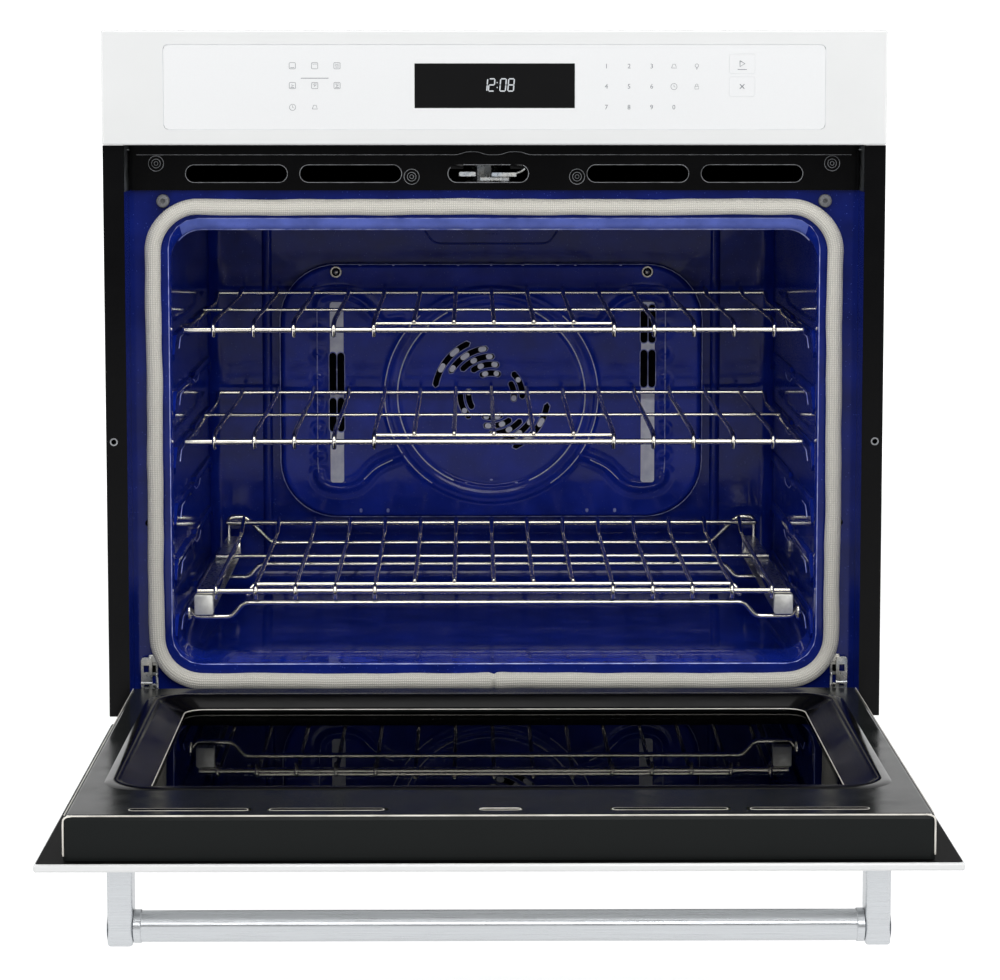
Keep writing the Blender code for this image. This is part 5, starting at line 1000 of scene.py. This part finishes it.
class OVEN_OT_baffle(bpy.types.Operator):
    """Make the pressed fan baffle with its slots and screws"""

    bl_idname = "oven.baffle"
    bl_label = "Fan baffle"

    def execute(self, context):
        self.make_plate()
        self.make_slots()
        return {"FINISHED"}

    def make_plate(self):
        """Front sheet: rays from the fan's axis to the rounded outline, at depth 531 less the beads. A bead is a
        bell curve of the distance from its line. The back sheet lies 1 mm behind."""
        outline = rounded_rect(484, 291, 65, 40) + (0, 328.5)
        extra = []
        for a, b in zip(outline, np.roll(outline, -1, 0)):
            count = max(1, int(np.linalg.norm(b - a) // 3.5))
            extra.append(a + (b - a) * np.arange(count)[:, None] / count)
        outline = np.concatenate(extra)
        centre = np.array([0, 324.0])
        share = np.concatenate([np.linspace(0.02, 0.975, 130), [0.984, 0.990, 0.995, 1.0]])
        flat = centre + (outline - centre)[None] * share[:, None, None]
        x, z = np.abs(flat[..., 0]), flat[..., 1]
        r = np.hypot(x, z - 324.0)
        lift = 2.6 * self.bell(r - 115, 6.0) + 1.3 * self.bell(r - 107, 2.2) + 1.3 * self.bell(r - 123, 2.2)
        wing = rounded_path([
            (104, 254), (132, 244), (152, 219), (176, 215), (198.5, 222), (198.5, 436), (178, 441), (156, 438), (138, 424),
            (122, 404), (104, 408),
        ], 16, 6)
        steps = np.linspace(0, len(wing) - 1, 420)
        wing = np.stack([np.interp(steps, np.arange(len(wing)), wing[:, k]) for k in (0, 1)], 1)
        near = np.full(x.shape, 1e3)
        for part in np.array_split(wing, 12):
            gap = np.hypot(x[..., None] - part[:, 0], z[..., None] - part[:, 1])
            near = np.minimum(near, gap.min(-1))
        lift = lift + 2.2 * self.bell(near, 3.6) * (r > 116) - 0.7 * self.bell(near - 7.5, 2.5) * (r > 128)
        depth = 531.5 - lift + np.concatenate([np.zeros(130), [0.3, 1.4, 4.5, 9.0]])[:, None]
        front = np.stack([flat[..., 0], depth, z], -1)
        back = front[::-1] + (0, 1.0, 0)
        # The baffle wears the lighter cobalt copy: painted light.
        piece(
            "baffle_plate", [skin(np.concatenate([front, back]))], MADE["cobalt_baffle_lit"], "chassis",
            ["rear_baffle"], crease=60,
        )
        # Pale painted highlight along the baffle's outline and on rows of small dots.
        lines = [carry(np.insert(outline[::4], 1, 533.0, axis=1), circle(0.5, 6), (0, 1, 0), closed=True)]
        for dot in (-150, -112, -76, -38, 0, 36, 76, 96, 148):
            lines.append(layers((dot, 473.2), (3.0, 1.8), 0.8, [(0, 533), (0, 530.6), (0.4, 530.4)], steps=2))
        for dot in (-150, -119, 110, 142):
            lines.append(layers((dot, 190.5), (3.4, 4.6), 1.6, [(0, 532), (0, 530.6), (0.4, 530.3)], steps=3))
        for dot in (-29, 0, 29):
            spot = (dot, 222 - abs(dot) * 0.12 + 4)
            lines.append(layers(spot, (3.2, 2.0), 0.9, [(0, 531.6), (0, 530.4), (0.4, 530.2)], steps=2))
        piece("baffle_edge", lines, MADE["pale_cobalt_highlight"], "chassis")
        # Painted highlights along the ring beads and along the wings' uprights and crests.
        gleams = []
        for side in (-1, 1):
            for radius, begin, end, thick in ((107.6, 118, 246, 0.75), (122.4, 132, 236, 0.6)):
                turn = np.radians(np.linspace(begin, end, 48))
                arc = np.stack([-side * radius * np.cos(turn), np.full(48, 529.5), 324 + radius * np.sin(turn)], 1)
                gleams.append((*wire(arc, thick, (0, 1, 0), sides=6), 0))
            upright = [(side * x, 530.2, z) for x, z in ((170, 216), (196, 219), (199.4, 240), (199.4, 428), (192, 438))]
            gleams.append((*wire(rounded_path(upright, 12, 5), 0.55, (0, 1, 0), sides=6), 1))
            crest = [(side * x, 529.8, z) for x, z in ((146, 227), (133, 240), (114, 249))]
            gleams.append((*wire(rounded_path(crest, 8, 5), 0.6, (0, 1, 0), sides=6), 0))
        piece("bead_gleams", gleams, [MADE["pale_painted_light"], MADE["pale_cobalt_highlight"]], "chassis")

    def bell(self, distance, width):
        """exp(-(distance / width)^2): 1 on the line and near 0 at twice width."""
        return np.exp(-(distance / width) ** 2)

    def arc_slot(self, radius, begin, end, width, depth):
        """A flat bar with half-round ends along an arc about the fan's axis. Its half width is
        sqrt(1 - t^2) of full within half a width of each end."""
        angle = np.radians(np.linspace(begin, end, 22))
        along = (angle - angle[0]) * radius
        reach = np.minimum(np.minimum(along, along[-1] - along) / (width / 2), 1)
        half = np.maximum(np.sqrt(1 - (1 - reach) ** 2), 0.05) * width / 2
        rows = []
        for out, back in ((-1, 0.5), (1, 0.5), (1, -0.5), (-1, -0.5)):
            far = radius + out * half
            rows.append(np.stack([far * np.cos(angle), np.full(22, depth + back), 324 + far * np.sin(angle)], 1))
        return skin(np.stack(rows, 1))

    def make_slots(self):
        """Arc slots about the fan's axis and upright outlet slots, each a rim of painted highlight with a hole of
        painted shadow on it, and pale patches of painted light behind them, as light coming through."""
        parts = []
        arms = (
            (65, 111, 173), (54, 93, 153), (44.5, 84, 142), (35.5, 74, 131), (25.5, 64, 122), (35.5, 172, 229),
            (26, 162, 218),
        )
        gleams = (
            (65, 125, 136), (65, 146, 156), (54, 96, 106), (54, 118, 130), (54, 141, 150), (44.5, 88, 98),
            (44.5, 112, 122), (35.5, 78, 90), (35.5, 104, 116), (25.5, 70, 84), (25.5, 98, 114), (26, 165, 180),
            (35.5, 205, 215),
        )
        for turn in (0, 180):
            for radius, begin, end in arms:
                parts.append((*self.arc_slot(radius, begin + turn, end + turn, 8.0, 529.6), 1))
                parts.append((*self.arc_slot(radius, begin + turn + 1, end + turn - 1, 6.6, 529.3), 0))
            for radius, begin, end in gleams:
                parts.append((*self.arc_slot(radius, begin + turn, end + turn, 5.8, 529.1), 2))
        rows = ((-177, ((373, 325), (321, 282))), (179.5, ((428, 384), (376, 333))))
        for x, spans in rows:
            parts.append((*layers((x, 327), (15.5, 208), 3, [(0, 531.2), (0, 529.8)], steps=3), 2))
            for high, low in spans:
                for side in (-4.6, 4.6):
                    place = (x + side, (high + low) / 2)
                    parts.append((*layers(place, (9.6, high - low + 2.4), 4.7, [(0, 529.9), (0, 529.5)], steps=4), 1))
                    parts.append((*layers(place, (8.0, high - low), 3.9, [(0, 529.8), (0, 529.2)], steps=4), 0))
        finishes = [MADE["slot_shadow"], MADE["pale_cobalt_highlight"], MADE["pale_painted_light"]]
        piece("baffle_slots", parts, finishes, "chassis")
        parts = []
        for x in (-177.5, 178.5):
            parts.append((*turned((x, 465.5), [
                (6.8, 531.4), (6.8, 529.4), (6.2, 528.9), (4.9, 528.9), (4.7, 530.0), (0, 530.2)
            ]), 0))
            # A dark disc of painted shade inside the screw's rim.
            parts.append((*turned((x, 465.5), [(4.8, 530.0), (4.7, 529.2), (0, 529.1)]), 1))
            parts.append((*turned((x, 465.5), [(2.9, 529.6), (2.7, 527.4), (1.6, 526.6), (0, 526.4)]), 0))
        piece("baffle_screws", parts, [MADE["nickel_screw"], MADE["slot_shadow"]], "chassis")


class OVEN_OT_broiler(bpy.types.Operator):
    """Make the broil element: one looped sheath held close under the cavity's top"""

    bl_idname = "oven.broiler"
    bl_label = "Broil element"

    def execute(self, context):
        """The sheath runs to and fro along six lines, and rounded corners join them."""
        low, high = box_mm("broil_element")
        z, front, rear = high[2] - 3.4, low[1] + 4, high[1] - 58
        spread = np.linspace(-222, 222, 6)
        path = [(spread[0], high[1] - 2, z)]
        for i, x in enumerate(spread):
            ends = (rear, front) if i % 2 == 0 else (front, rear)
            path += [(x, ends[0], z), (x, ends[1], z)]
        path.append((spread[-1], high[1] - 2, z))
        sheath = wire(rounded_path(path, 42, 10), 3.3, (0, 0, 1), sides=12)
        clips = [layers((x, 537), (9, 11), 2, [(0, 249), (0, 253)], steps=3) for x in spread[1:5]]
        piece(
            "broil_sheath", [sheath, *clips], MADE["heater_sheath"], "chassis", ["broil_element"], crease=50
        )
        return {"FINISHED"}


class OVEN_OT_racks(bpy.types.Operator):
    """Make the chrome wire racks and the roll-out rack"""

    bl_idname = "oven.racks"
    bl_label = "Racks"

    def execute(self, context):
        sizes = context.scene.oven_sizes
        bar, thin = sizes.rack_bar * 1000, sizes.rack_wire * 1000
        self.make_rack("rack_top", bar, thin)
        self.make_rack("rack_middle", bar, thin)
        self.make_roll_out_rack(bar, thin)
        return {"FINISHED"}

    def make_rack(self, node, bar, thin):
        """Rim, mid bar and raised front segment carried along their lines, and 15 long wires: the outer ten hook
        over the front bar, and the middle five end on the raised segment."""
        low, high = box_mm(node)
        front, rear, half, z = low[1] + 3.2, high[1] - 3.2, high[0] - 3.2, low[2] + 3.2
        rim = rounded_path([
            (-half, front + 4, z), (half, front + 4, z), (half, rear - 36, z), (half, rear - 6, z + 9.5),
            (half, rear, z + 10), (-half, rear, z + 10), (-half, rear - 6, z + 9.5), (-half, rear - 36, z),
        ], 7, 5, closed=True)
        parts = [wire(rim, bar * 0.8, (0, 0, 1), closed=True)]
        parts.append(wire([(-half - 1.5, front, z), (half + 1.5, front, z)], bar, (0, 0, 1), sides=14))
        parts.append(wire([(-half, front + 212, z + 4.6), (half, front + 212, z + 4.6)], bar * 0.66, (0, 0, 1)))
        parts.append(wire([(-121.5, front + 10, z + 5.6), (121.5, front + 10, z + 5.6)], bar * 0.7, (0, 0, 1)))
        for i in range(15):
            x = (i - 7) * 40.5
            if abs(x) < 100:
                path = [(x, front + 5.5, z + 8.2), (x, front + 40, z + 8.4)]
            else:
                path = [
                    (x, front - 1.2, z - 5.6), (x, front - 4.0, z + 1.0), (x, front - 1.0, z + 5.8),
                    (x, front + 30, z + 8.4),
                ]
            path += [(x, rear - 40, z + 8.4), (x, rear - 6, z + 13.4), (x, rear + 1.0, z + 15.2)]
            parts.append(wire(rounded_path(path, 5, 4), thin, (1, 0, 0), sides=9))
        piece(f"{node}_wires", parts, MADE["chrome_wire"], node, [node], crease=70)

    def make_roll_out_rack(self, bar, thin):
        """Deck bars and 15 long wires like the plain racks', on end caps and rails. The outer ten wires hook over
        the front bar, and the middle five end on a raised bar behind it."""
        low, high = box_mm("glide_rack")
        front, rear, half, z = low[1] + 4, high[1] - 3.5, high[0] - 1, low[2] + 25.1
        parts = [
            wire([(-half, front, z), (half, front, z)], bar, (0, 0, 1), sides=14),
            wire([(-half, front + 232, z), (half, front + 232, z)], bar * 0.85, (0, 0, 1)),
            wire([(-half, rear, z + 14), (half, rear, z + 14)], bar, (0, 0, 1), sides=14),
            wire(rounded_path([
                (-251, front + 4, z - 4), (-246, front + 9, z + 5.6), (246, front + 9, z + 5.6), (251, front + 4, z - 4)
            ], 8, 6), bar * 0.85, (0, 1, 0.3)),
        ]
        for i in range(15):
            x = (i - 7) * 40.5
            if abs(x) < 100:
                path = [(x, front + 7.5, z + 9.5), (x, front + 40, z + 5)]
            else:
                path = [(x, front - 1.2, z - 6.4), (x, front - 3.8, z), (x, front - 1.0, z + 5), (x, front + 30, z + 5)]
            path += [(x, rear - 34, z + 5), (x, rear - 6, z + 15.5), (x, rear + 1, z + 18.6)]
            parts.append(wire(rounded_path(path, 5, 4), thin, (1, 0, 0), sides=9))
        for side in (-1, 1):
            x = side * (high[0] - 7)
            for y, deep, finish_index in ((front - 2.5, 12.0, 1), (rear - 9, 8.0, 0)):
                parts.append((*layers(
                    (x, low[2] + 11.2), (19.0, 20.4), 1.6,
                    [(0.5, y - 1.0), (0, y - 0.6), (0, y + deep), (0.5, y + deep + 0.4)], steps=3,
                ), finish_index))
            parts.append((*layers(
                (x, low[2] + 11.0), (11, 15), 2.0,
                [(0.8, front + 12), (0, front + 13), (0, rear - 11), (0.8, rear - 10)], steps=3,
            ), 0))
        piece(
            "roll_out_rack", parts, [MADE["chrome_wire"], MADE["satin_steel"]], "glide_rack",
            ["glide_rack"], crease=60,
        )

        low, high = box_mm("glide_base_frame")
        side_z, half, front, rear = low[2] + 12, high[0] - 2.8, low[1] + 6, high[1] - 2.6
        base = []
        for y in (front, front + 254):
            path = [(-half, y, side_z), (-half + 5, y, side_z - 10), (-268, y, side_z - 10), (-256, y, side_z + 4.6)]
            path += [(-x, y, height) for x, y, height in path[::-1]]
            base.append(wire(rounded_path(path, 6, 5), bar * 0.9, (0, 1, 0)))
        stop = [(-301, rear, side_z + 2), (-301, rear, side_z + 38), (-281, rear, side_z + 38), (-252, rear, side_z + 8)]
        stop += [(-x, y, height) for x, y, height in stop[::-1]]
        base.append(wire(rounded_path(stop, 7, 5), bar * 0.9, (0, 1, 0)))
        for side in (-1, 1):
            rail = [(side * half, front - 6, side_z - 10), (side * half, front - 6, side_z), (side * half, rear, side_z)]
            base.append(wire(rounded_path(rail, 4, 4), bar, (1, 0, 0)))
        piece("base_frame_wires", base, MADE["chrome_wire"], "chassis", ["glide_base_frame"], crease=70)


class OVEN_OT_door(bpy.types.Operator):
    """Make the open door's inner frame, window surround, slots and edges"""

    bl_idname = "oven.door"
    bl_label = "Door"

    def execute(self, context):
        black = MADE["black_enamel"]
        centre = (0, 339.5)
        rows = []
        for width, height, radius, depth in (
            (758.6, 555.6, 3, 6.52), (758.6, 555.6, 3, 6.74), (690, 500, 20, 6.74), (690, 500, 20, 6.52)
        ):
            rows.append(np.insert(rounded_rect(width, height, radius, 6) + centre, 1, depth, axis=1))
        flange = skin(np.stack(rows), close_rows=True)
        piece("door_flange", [flange], MADE["black_coat_and_duct_shade"], "door", door=True)

        centre = (0, 308.0)
        rows = []
        for width, height, radius, depth in (
            (676, 416, 34, 44.4), (672, 412, 34, 45.3), (660, 400, 32, 45.9), (652, 392, 30, 45.4), (646, 386, 28, 43.4),
            (614, 378, 22, 35.0), (606, 374, 20, 33.4), (603, 372, 19, 32.8), (603, 372, 19, 31.2), (640, 382, 24, 31.2),
        ):
            rows.append(np.insert(rounded_rect(width, height, radius, 10) + centre, 1, depth, axis=1))
        surround = skin(np.stack(rows), close_rows=True)
        piece("window_surround", [surround], black, "door", door=True, crease=50)

        # The dark slot plates are painted shade in the door's vent slots, and the cream lines are painted highlights on
        # its folded edges and the glass retainer.
        dark, edges = [], []
        for low, high in ((-305, -208), (-189, -95.8), (-15.7, 17.3), (94, 188), (208, 305)):
            spot, size = ((low + high) / 2, 587.0), (high - low, 6.4)
            if low > 0 or high < 0:
                dark.append((*layers(spot, size, 3.1, [(0, 44.4), (0, 44.78)], steps=4), 0))
            ring = np.insert(rounded_rect(size[0] + 1.2, size[1] + 1.2, 3.7, 5) + spot, 1, 44.3, axis=1)
            edges.append((*carry(ring, circle(0.5, 6), (0, 1, 0), closed=True), 1))
        edges.append((*wire([(-354, 43.9, 606.9), (354, 43.9, 606.9)], 0.7, (0, 1, 0), sides=6), 1))
        for side in (-1, 1):
            edges.append((*wire([(side * 356.8, 44.1, 74), (side * 356.8, 44.1, 604)], 0.45, (0, 1, 0), sides=6), 1))
            edges.append((*wire(rounded_path([
                (side * 350, 44.2, 607.4), (side * 357.2, 42.6, 607.4), (side * 357.6, 36, 607.4), (side * 357.6, 11, 607.4)
            ], 4), 0.75, (0, 0, 1), sides=6), 1))
        retainer = np.insert(rounded_rect(601, 371, 19, 10) + centre, 1, 33.2, axis=1)
        edges.append((*carry(retainer, circle(0.55, 6), (0, 1, 0), closed=True), 1))
        piece("door_edges", dark + edges, [MADE["slot_shadow"], MADE["enamel_glint"]], "door", door=True)

        return {"FINISHED"}


class OVEN_OT_handle(bpy.types.Operator):
    """Make the brushed handle: two posts with collars and a round bar between them"""

    bl_idname = "oven.handle"
    bl_label = "Handle"

    def execute(self, context):
        metal = MADE["brushed_aluminium"]
        for side, word in ((-1, "left"), (1, "right")):
            x = side * 314.0
            post = layers((x, 576), (21, 26), 3.0, [
                (0.6, -0.8), (0, -1.6), (0, -68.6), (0.4, -69.8), (1.3, -70.6), (3.0, -70.8)
            ], steps=5)
            cap = turned((-56.6, 576), [
                (11.2, x + side * 10.4), (12.0, x + side * 10.9), (11.6, x + side * 11.0), (0, x + side * 11.0)
            ], axis=0, sides=40)
            piece(f"post_{word}_shaped", [post], metal, "door", [f"handle_post_{word}"], door=True)
            piece(f"post_{word}_cap", [cap], metal, "door", door=True)
            collar = turned((-56.6, 576), [
                (12.6, x - side * 10.4), (13.9, x - side * 11.0), (13.9, x - side * 16.6), (13.2, x - side * 17.2),
                (12.6, x - side * 17.2),
            ], axis=0, sides=48)
            piece(f"collar_{word}", [collar], metal, "door", door=True)
            # The post's foot is a thin rim in the grey of the edge highlights.
            foot = layers((x, 576), (22.6, 27.6), 3.4, [(0, -0.9), (0, -2.2), (0.6, -2.6)], steps=5)
            piece(f"post_{word}_foot", [foot], MADE["edge_highlight_grey"], "door", door=True)
        angle = np.arange(64) * 2 * math.pi / 64
        section = np.stack([13 * np.cos(angle), 13 * np.sin(angle)], 1)
        section[:, 0] = np.minimum(section[:, 0], 12.55)
        path = np.stack([np.linspace(-303, 303, 31), np.full(31, -56.6), np.full(31, 576.0)], 1)
        bar = carry(path, section, (0, 1, 0))
        piece("bar_turned", [bar], metal, "door", ["handle_bar"], door=True, crease=25)
        return {"FINISHED"}


class OVEN_OT_hinges(bpy.types.Operator):
    """Make the hinge catches beside the cavity: plate, window and leaning loop"""

    bl_idname = "oven.hinges"
    bl_label = "Hinge catches"

    def execute(self, context):
        for side, word in ((-1, "left"), (1, "right")):
            x = side * 341.5
            parts = [
                (*layers((x, 108), (9.5, 8.0), 1.2, [(0, 51.9), (0, 48.2), (0.5, 47.8)], steps=3), 0),
                (*layers((x, 97.5), (9.5, 13.0), 1.0, [(0, 51.9), (0, 49.4), (0.4, 49.0)], steps=3), 0),
                # The window is a dark plate of painted shade.
                (*layers((x, 98.0), (5.2, 7.0), 0.6, [(0, 49.2), (0, 48.8)], steps=2), 1),
            ]
            loop = rounded_path([
                (x - 3.4, 48.4, 92), (x - 3.8, 47.2, 84), (x - side * 1.0 - 3.2, 46.4, 76), (x + 3.2 - side * 1.0, 46.4, 76),
                (x + 3.8, 47.2, 84), (x + 3.4, 48.4, 92),
            ], 3.6, 6)
            parts.append((*wire(loop, 1.25, (0, 1, 0.15)), 0))
            ring = [(2.9, 47.6), (2.9, 46.2), (1.5, 46.0), (1.5, 47.6)]
            parts.append((*turned((x - side * 1.0, 80.5), ring, sides=20), 0))
            parts.append((*layers((x, 70), (4.4, 12), 1.6, [(0, 50.6), (0, 48.6), (0.4, 48.2)], steps=3), 0))
            piece(f"hinge_catch_{word}", parts, [MADE["zinc_plate"], MADE["slot_shadow"]], "chassis")
        return {"FINISHED"}


class OVEN_OT_casing(bpy.types.Operator):
    """Make the casing's screws, pressed ribs, louvres and knock-out at the sides, top and back"""

    bl_idname = "oven.casing"
    bl_label = "Casing"

    def execute(self, context):
        steel = MADE["galvanised_steel"]
        back = box_mm("rear_panel")[1][1]
        parts = []
        for row in range(5):
            for column in range(2):
                x, z = (-150 + column * 300), 500 + row * 16
                parts.append(layers((x, z), (150, 8), 3.8, [
                    (0, back - 0.3), (0, back + 0.4), (1.2, back + 2.2), (2.6, back + 2.8)
                ], steps=5))
        for x in (-180, 180):
            parts.append(layers((x, 200), (210, 250), 18, [
                (0, back - 0.3), (0, back + 0.2), (3, back + 2.0), (7, back + 2.4)
            ], steps=8))
        parts.append(turned((290, 650), [
            (14, back - 0.2), (14, back + 0.5), (12.6, back + 1.2), (11.2, back + 0.6), (10.6, back + 0.6), (0, back + 0.9)
        ], sides=32))
        piece("rear_pressings", parts, steel, "chassis")

        parts = []
        spots = [(x, z) for x in (-350, -210, -70, 70, 210, 350) for z in (12, 712)]
        spots += [(x, z) for x in (-350, 350) for z in (150, 290, 430, 570)]
        for x, z in spots:
            parts.append(turned((x, z), [
                (5.6, back - 0.2), (5.6, back + 0.5), (3.7, back + 0.6), (3.6, back + 2.6), (3.0, back + 3.0),
                (0, back + 3.0),
            ], sides=6))
        top = box_mm("top_cover")[1][2]
        for x in (-352, -120, 120, 352):
            for y in (40, 300, 580):
                parts.append(turned((x, y), [
                    (5.6, top - 0.2), (5.6, top + 0.5), (3.7, top + 0.6), (3.6, top + 2.4), (3.0, top + 2.8), (0, top + 2.8)
                ], axis=2, sides=6))
        piece("casing_screws", parts, MADE["nickel_screw"], "chassis", crease=20)

        parts = []
        for x in (-180, 180):
            parts.append(layers((x, 310), (240, 420), 20, [
                (0, top - 0.3), (0, top + 0.2), (3, top + 2.0), (7, top + 2.4)
            ], axis=2, steps=8))
        piece("top_pressings", parts, steel, "chassis")
        parts = []
        outermost = box_mm("side_panel_right")[1][0]
        beads = [((310, z), (440, 26)) for z in (120, 620)] + [((y, 370), (26, 380)) for y in (60, 310, 560)]
        for side in (-1, 1):
            levels = [(0, side * (outermost - 0.3))]
            levels += [(inset, side * (outermost + proud)) for inset, proud in ((0, 0.2), (3, 1.6), (6, 2.0))]
            for centre, size in beads:
                parts.append(layers(centre, size, 12, levels, axis=0, steps=6))
        piece("side_pressings", parts, steel, "chassis")
        return {"FINISHED"}


class OVEN_OT_stage(bpy.types.Operator):
    """Make the pale floor and backdrop, the soft lights and the camera"""

    bl_idname = "oven.stage"
    bl_label = "Stage"

    def execute(self, context):
        scene = context.scene
        mat, tree, shader, where = finish("pale_floor", linear("B8B8B8"), 0.9, **{"Emission Strength": 0.70})
        two_tones(tree, shader, noise(tree, where, 900), linear("B4B4B4"), linear("BCBCBC"))
        shader.inputs["Emission Color"].default_value = (1, 1, 1, 1)
        self.sheet("floor", [(-9, -9, -0.3), (9, -9, -0.3), (9, 4, -0.3), (-9, 4, -0.3)], mat)
        mat, tree, shader, where = finish("lit_backdrop", linear("B8B8B8"), 0.9, **{"Emission Strength": 0.95})
        shader.inputs["Emission Color"].default_value = (1, 1, 1, 1)
        two_tones(tree, shader, noise(tree, where, 900), linear("B4B4B4"), linear("BCBCBC"))
        self.sheet("backdrop", [(-9, 4, -0.3), (9, 4, -0.3), (9, 4, 7), (-9, 4, 7)], mat)

        world = bpy.data.worlds.new("studio")
        world.use_nodes = True
        world.node_tree.nodes["Background"].inputs["Color"].default_value = (1, 1, 1, 1)
        world.node_tree.nodes["Background"].inputs["Strength"].default_value = 0.34
        scene.world = world
        self.softbox("top_box", (0.0, -1.9, 2.7), (0, -0.1, 0.3), 2.6, 1.4, 44)
        self.softbox("left_box", (-2.3, -2.0, 1.2), (0, 0.0, 0.35), 0.8, 1.6, 17)
        self.softbox("right_box", (2.3, -2.0, 1.2), (0, 0.0, 0.35), 0.8, 1.6, 17)
        self.softbox("front_box", (0.3, -4.2, 1.9), (0, 0.2, 0.3), 1.8, 1.0, 36)

        lens = bpy.data.cameras.new("camera")
        lens.lens, lens.sensor_width, lens.shift_y = 113.1, 36.0, -0.10
        camera = bpy.data.objects.new("camera", lens)
        scene.collection.objects.link(camera)
        camera.location = (-0.0227, -3.0562 + PANEL_FACE / 1000, 0.6911)
        camera.rotation_euler = self.look((0.00906, 0.99492, -0.10023))
        scene.camera = camera
        scene.view_settings.view_transform = "Standard"
        return {"FINISHED"}

    def look(self, direction):
        """Euler angles that turn a camera's or lamp's -Z along direction with its Y upwards."""
        x, y, z = direction
        return (math.atan2(math.hypot(x, y), -z), 0.0, math.atan2(-x, y))

    def sheet(self, name, corners, material):
        """One flat quad of the stage, in metres."""
        mesh = bpy.data.meshes.new(name)
        mesh.from_pydata(corners, [], [(0, 1, 2, 3)])
        mesh.materials.append(material)
        obj = bpy.data.objects.new(name, mesh)
        bpy.context.scene.collection.objects.link(obj)

    def softbox(self, name, place, target, width, height, power):
        """A rectangular area light at place, facing target. Sizes are metres and power is watts."""
        light = bpy.data.lights.new(name, "AREA")
        light.shape, light.size, light.size_y, light.energy = "RECTANGLE", width, height, power
        lamp = bpy.data.objects.new(name, light)
        lamp.location = place
        lamp.rotation_euler = self.look(np.array(target) - np.array(place))
        bpy.context.scene.collection.objects.link(lamp)


# ---- add-on

STEPS = (
    OVEN_OT_finishes, OVEN_OT_panel, OVEN_OT_trim, OVEN_OT_seal, OVEN_OT_cavity, OVEN_OT_baffle, OVEN_OT_broiler,
    OVEN_OT_racks,
    OVEN_OT_door, OVEN_OT_handle, OVEN_OT_hinges, OVEN_OT_casing, OVEN_OT_stage,
)


class OVEN_PT_sidebar(bpy.types.Panel):
    """Lists the oven's colours, sizes and pieces"""

    bl_idname = "OVEN_PT_sidebar"
    bl_label = "Wall oven"
    bl_space_type = "VIEW_3D"
    bl_region_type = "UI"
    bl_category = "Wall oven"

    def draw(self, context):
        for group in (context.scene.oven_colours, context.scene.oven_sizes):
            box = self.layout.box()
            for key in type(group).__annotations__:
                box.prop(group, key)
        for step in STEPS:
            self.layout.operator(step.bl_idname)


CLASSES = (OvenColours, OvenSizes, *STEPS, OVEN_PT_sidebar)


def register():
    for cls in CLASSES:
        bpy.utils.register_class(cls)
    bpy.types.Scene.oven_colours = bpy.props.PointerProperty(type=OvenColours)
    bpy.types.Scene.oven_sizes = bpy.props.PointerProperty(type=OvenSizes)


def unregister():
    del bpy.types.Scene.oven_sizes
    del bpy.types.Scene.oven_colours
    for cls in reversed(CLASSES):
        bpy.utils.unregister_class(cls)


def main():
    register()
    for step in STEPS:
        group, name = step.bl_idname.split(".")
        getattr(getattr(bpy.ops, group), name)()
    bpy.context.view_layer.update()


if __name__ == "__main__":
    main()
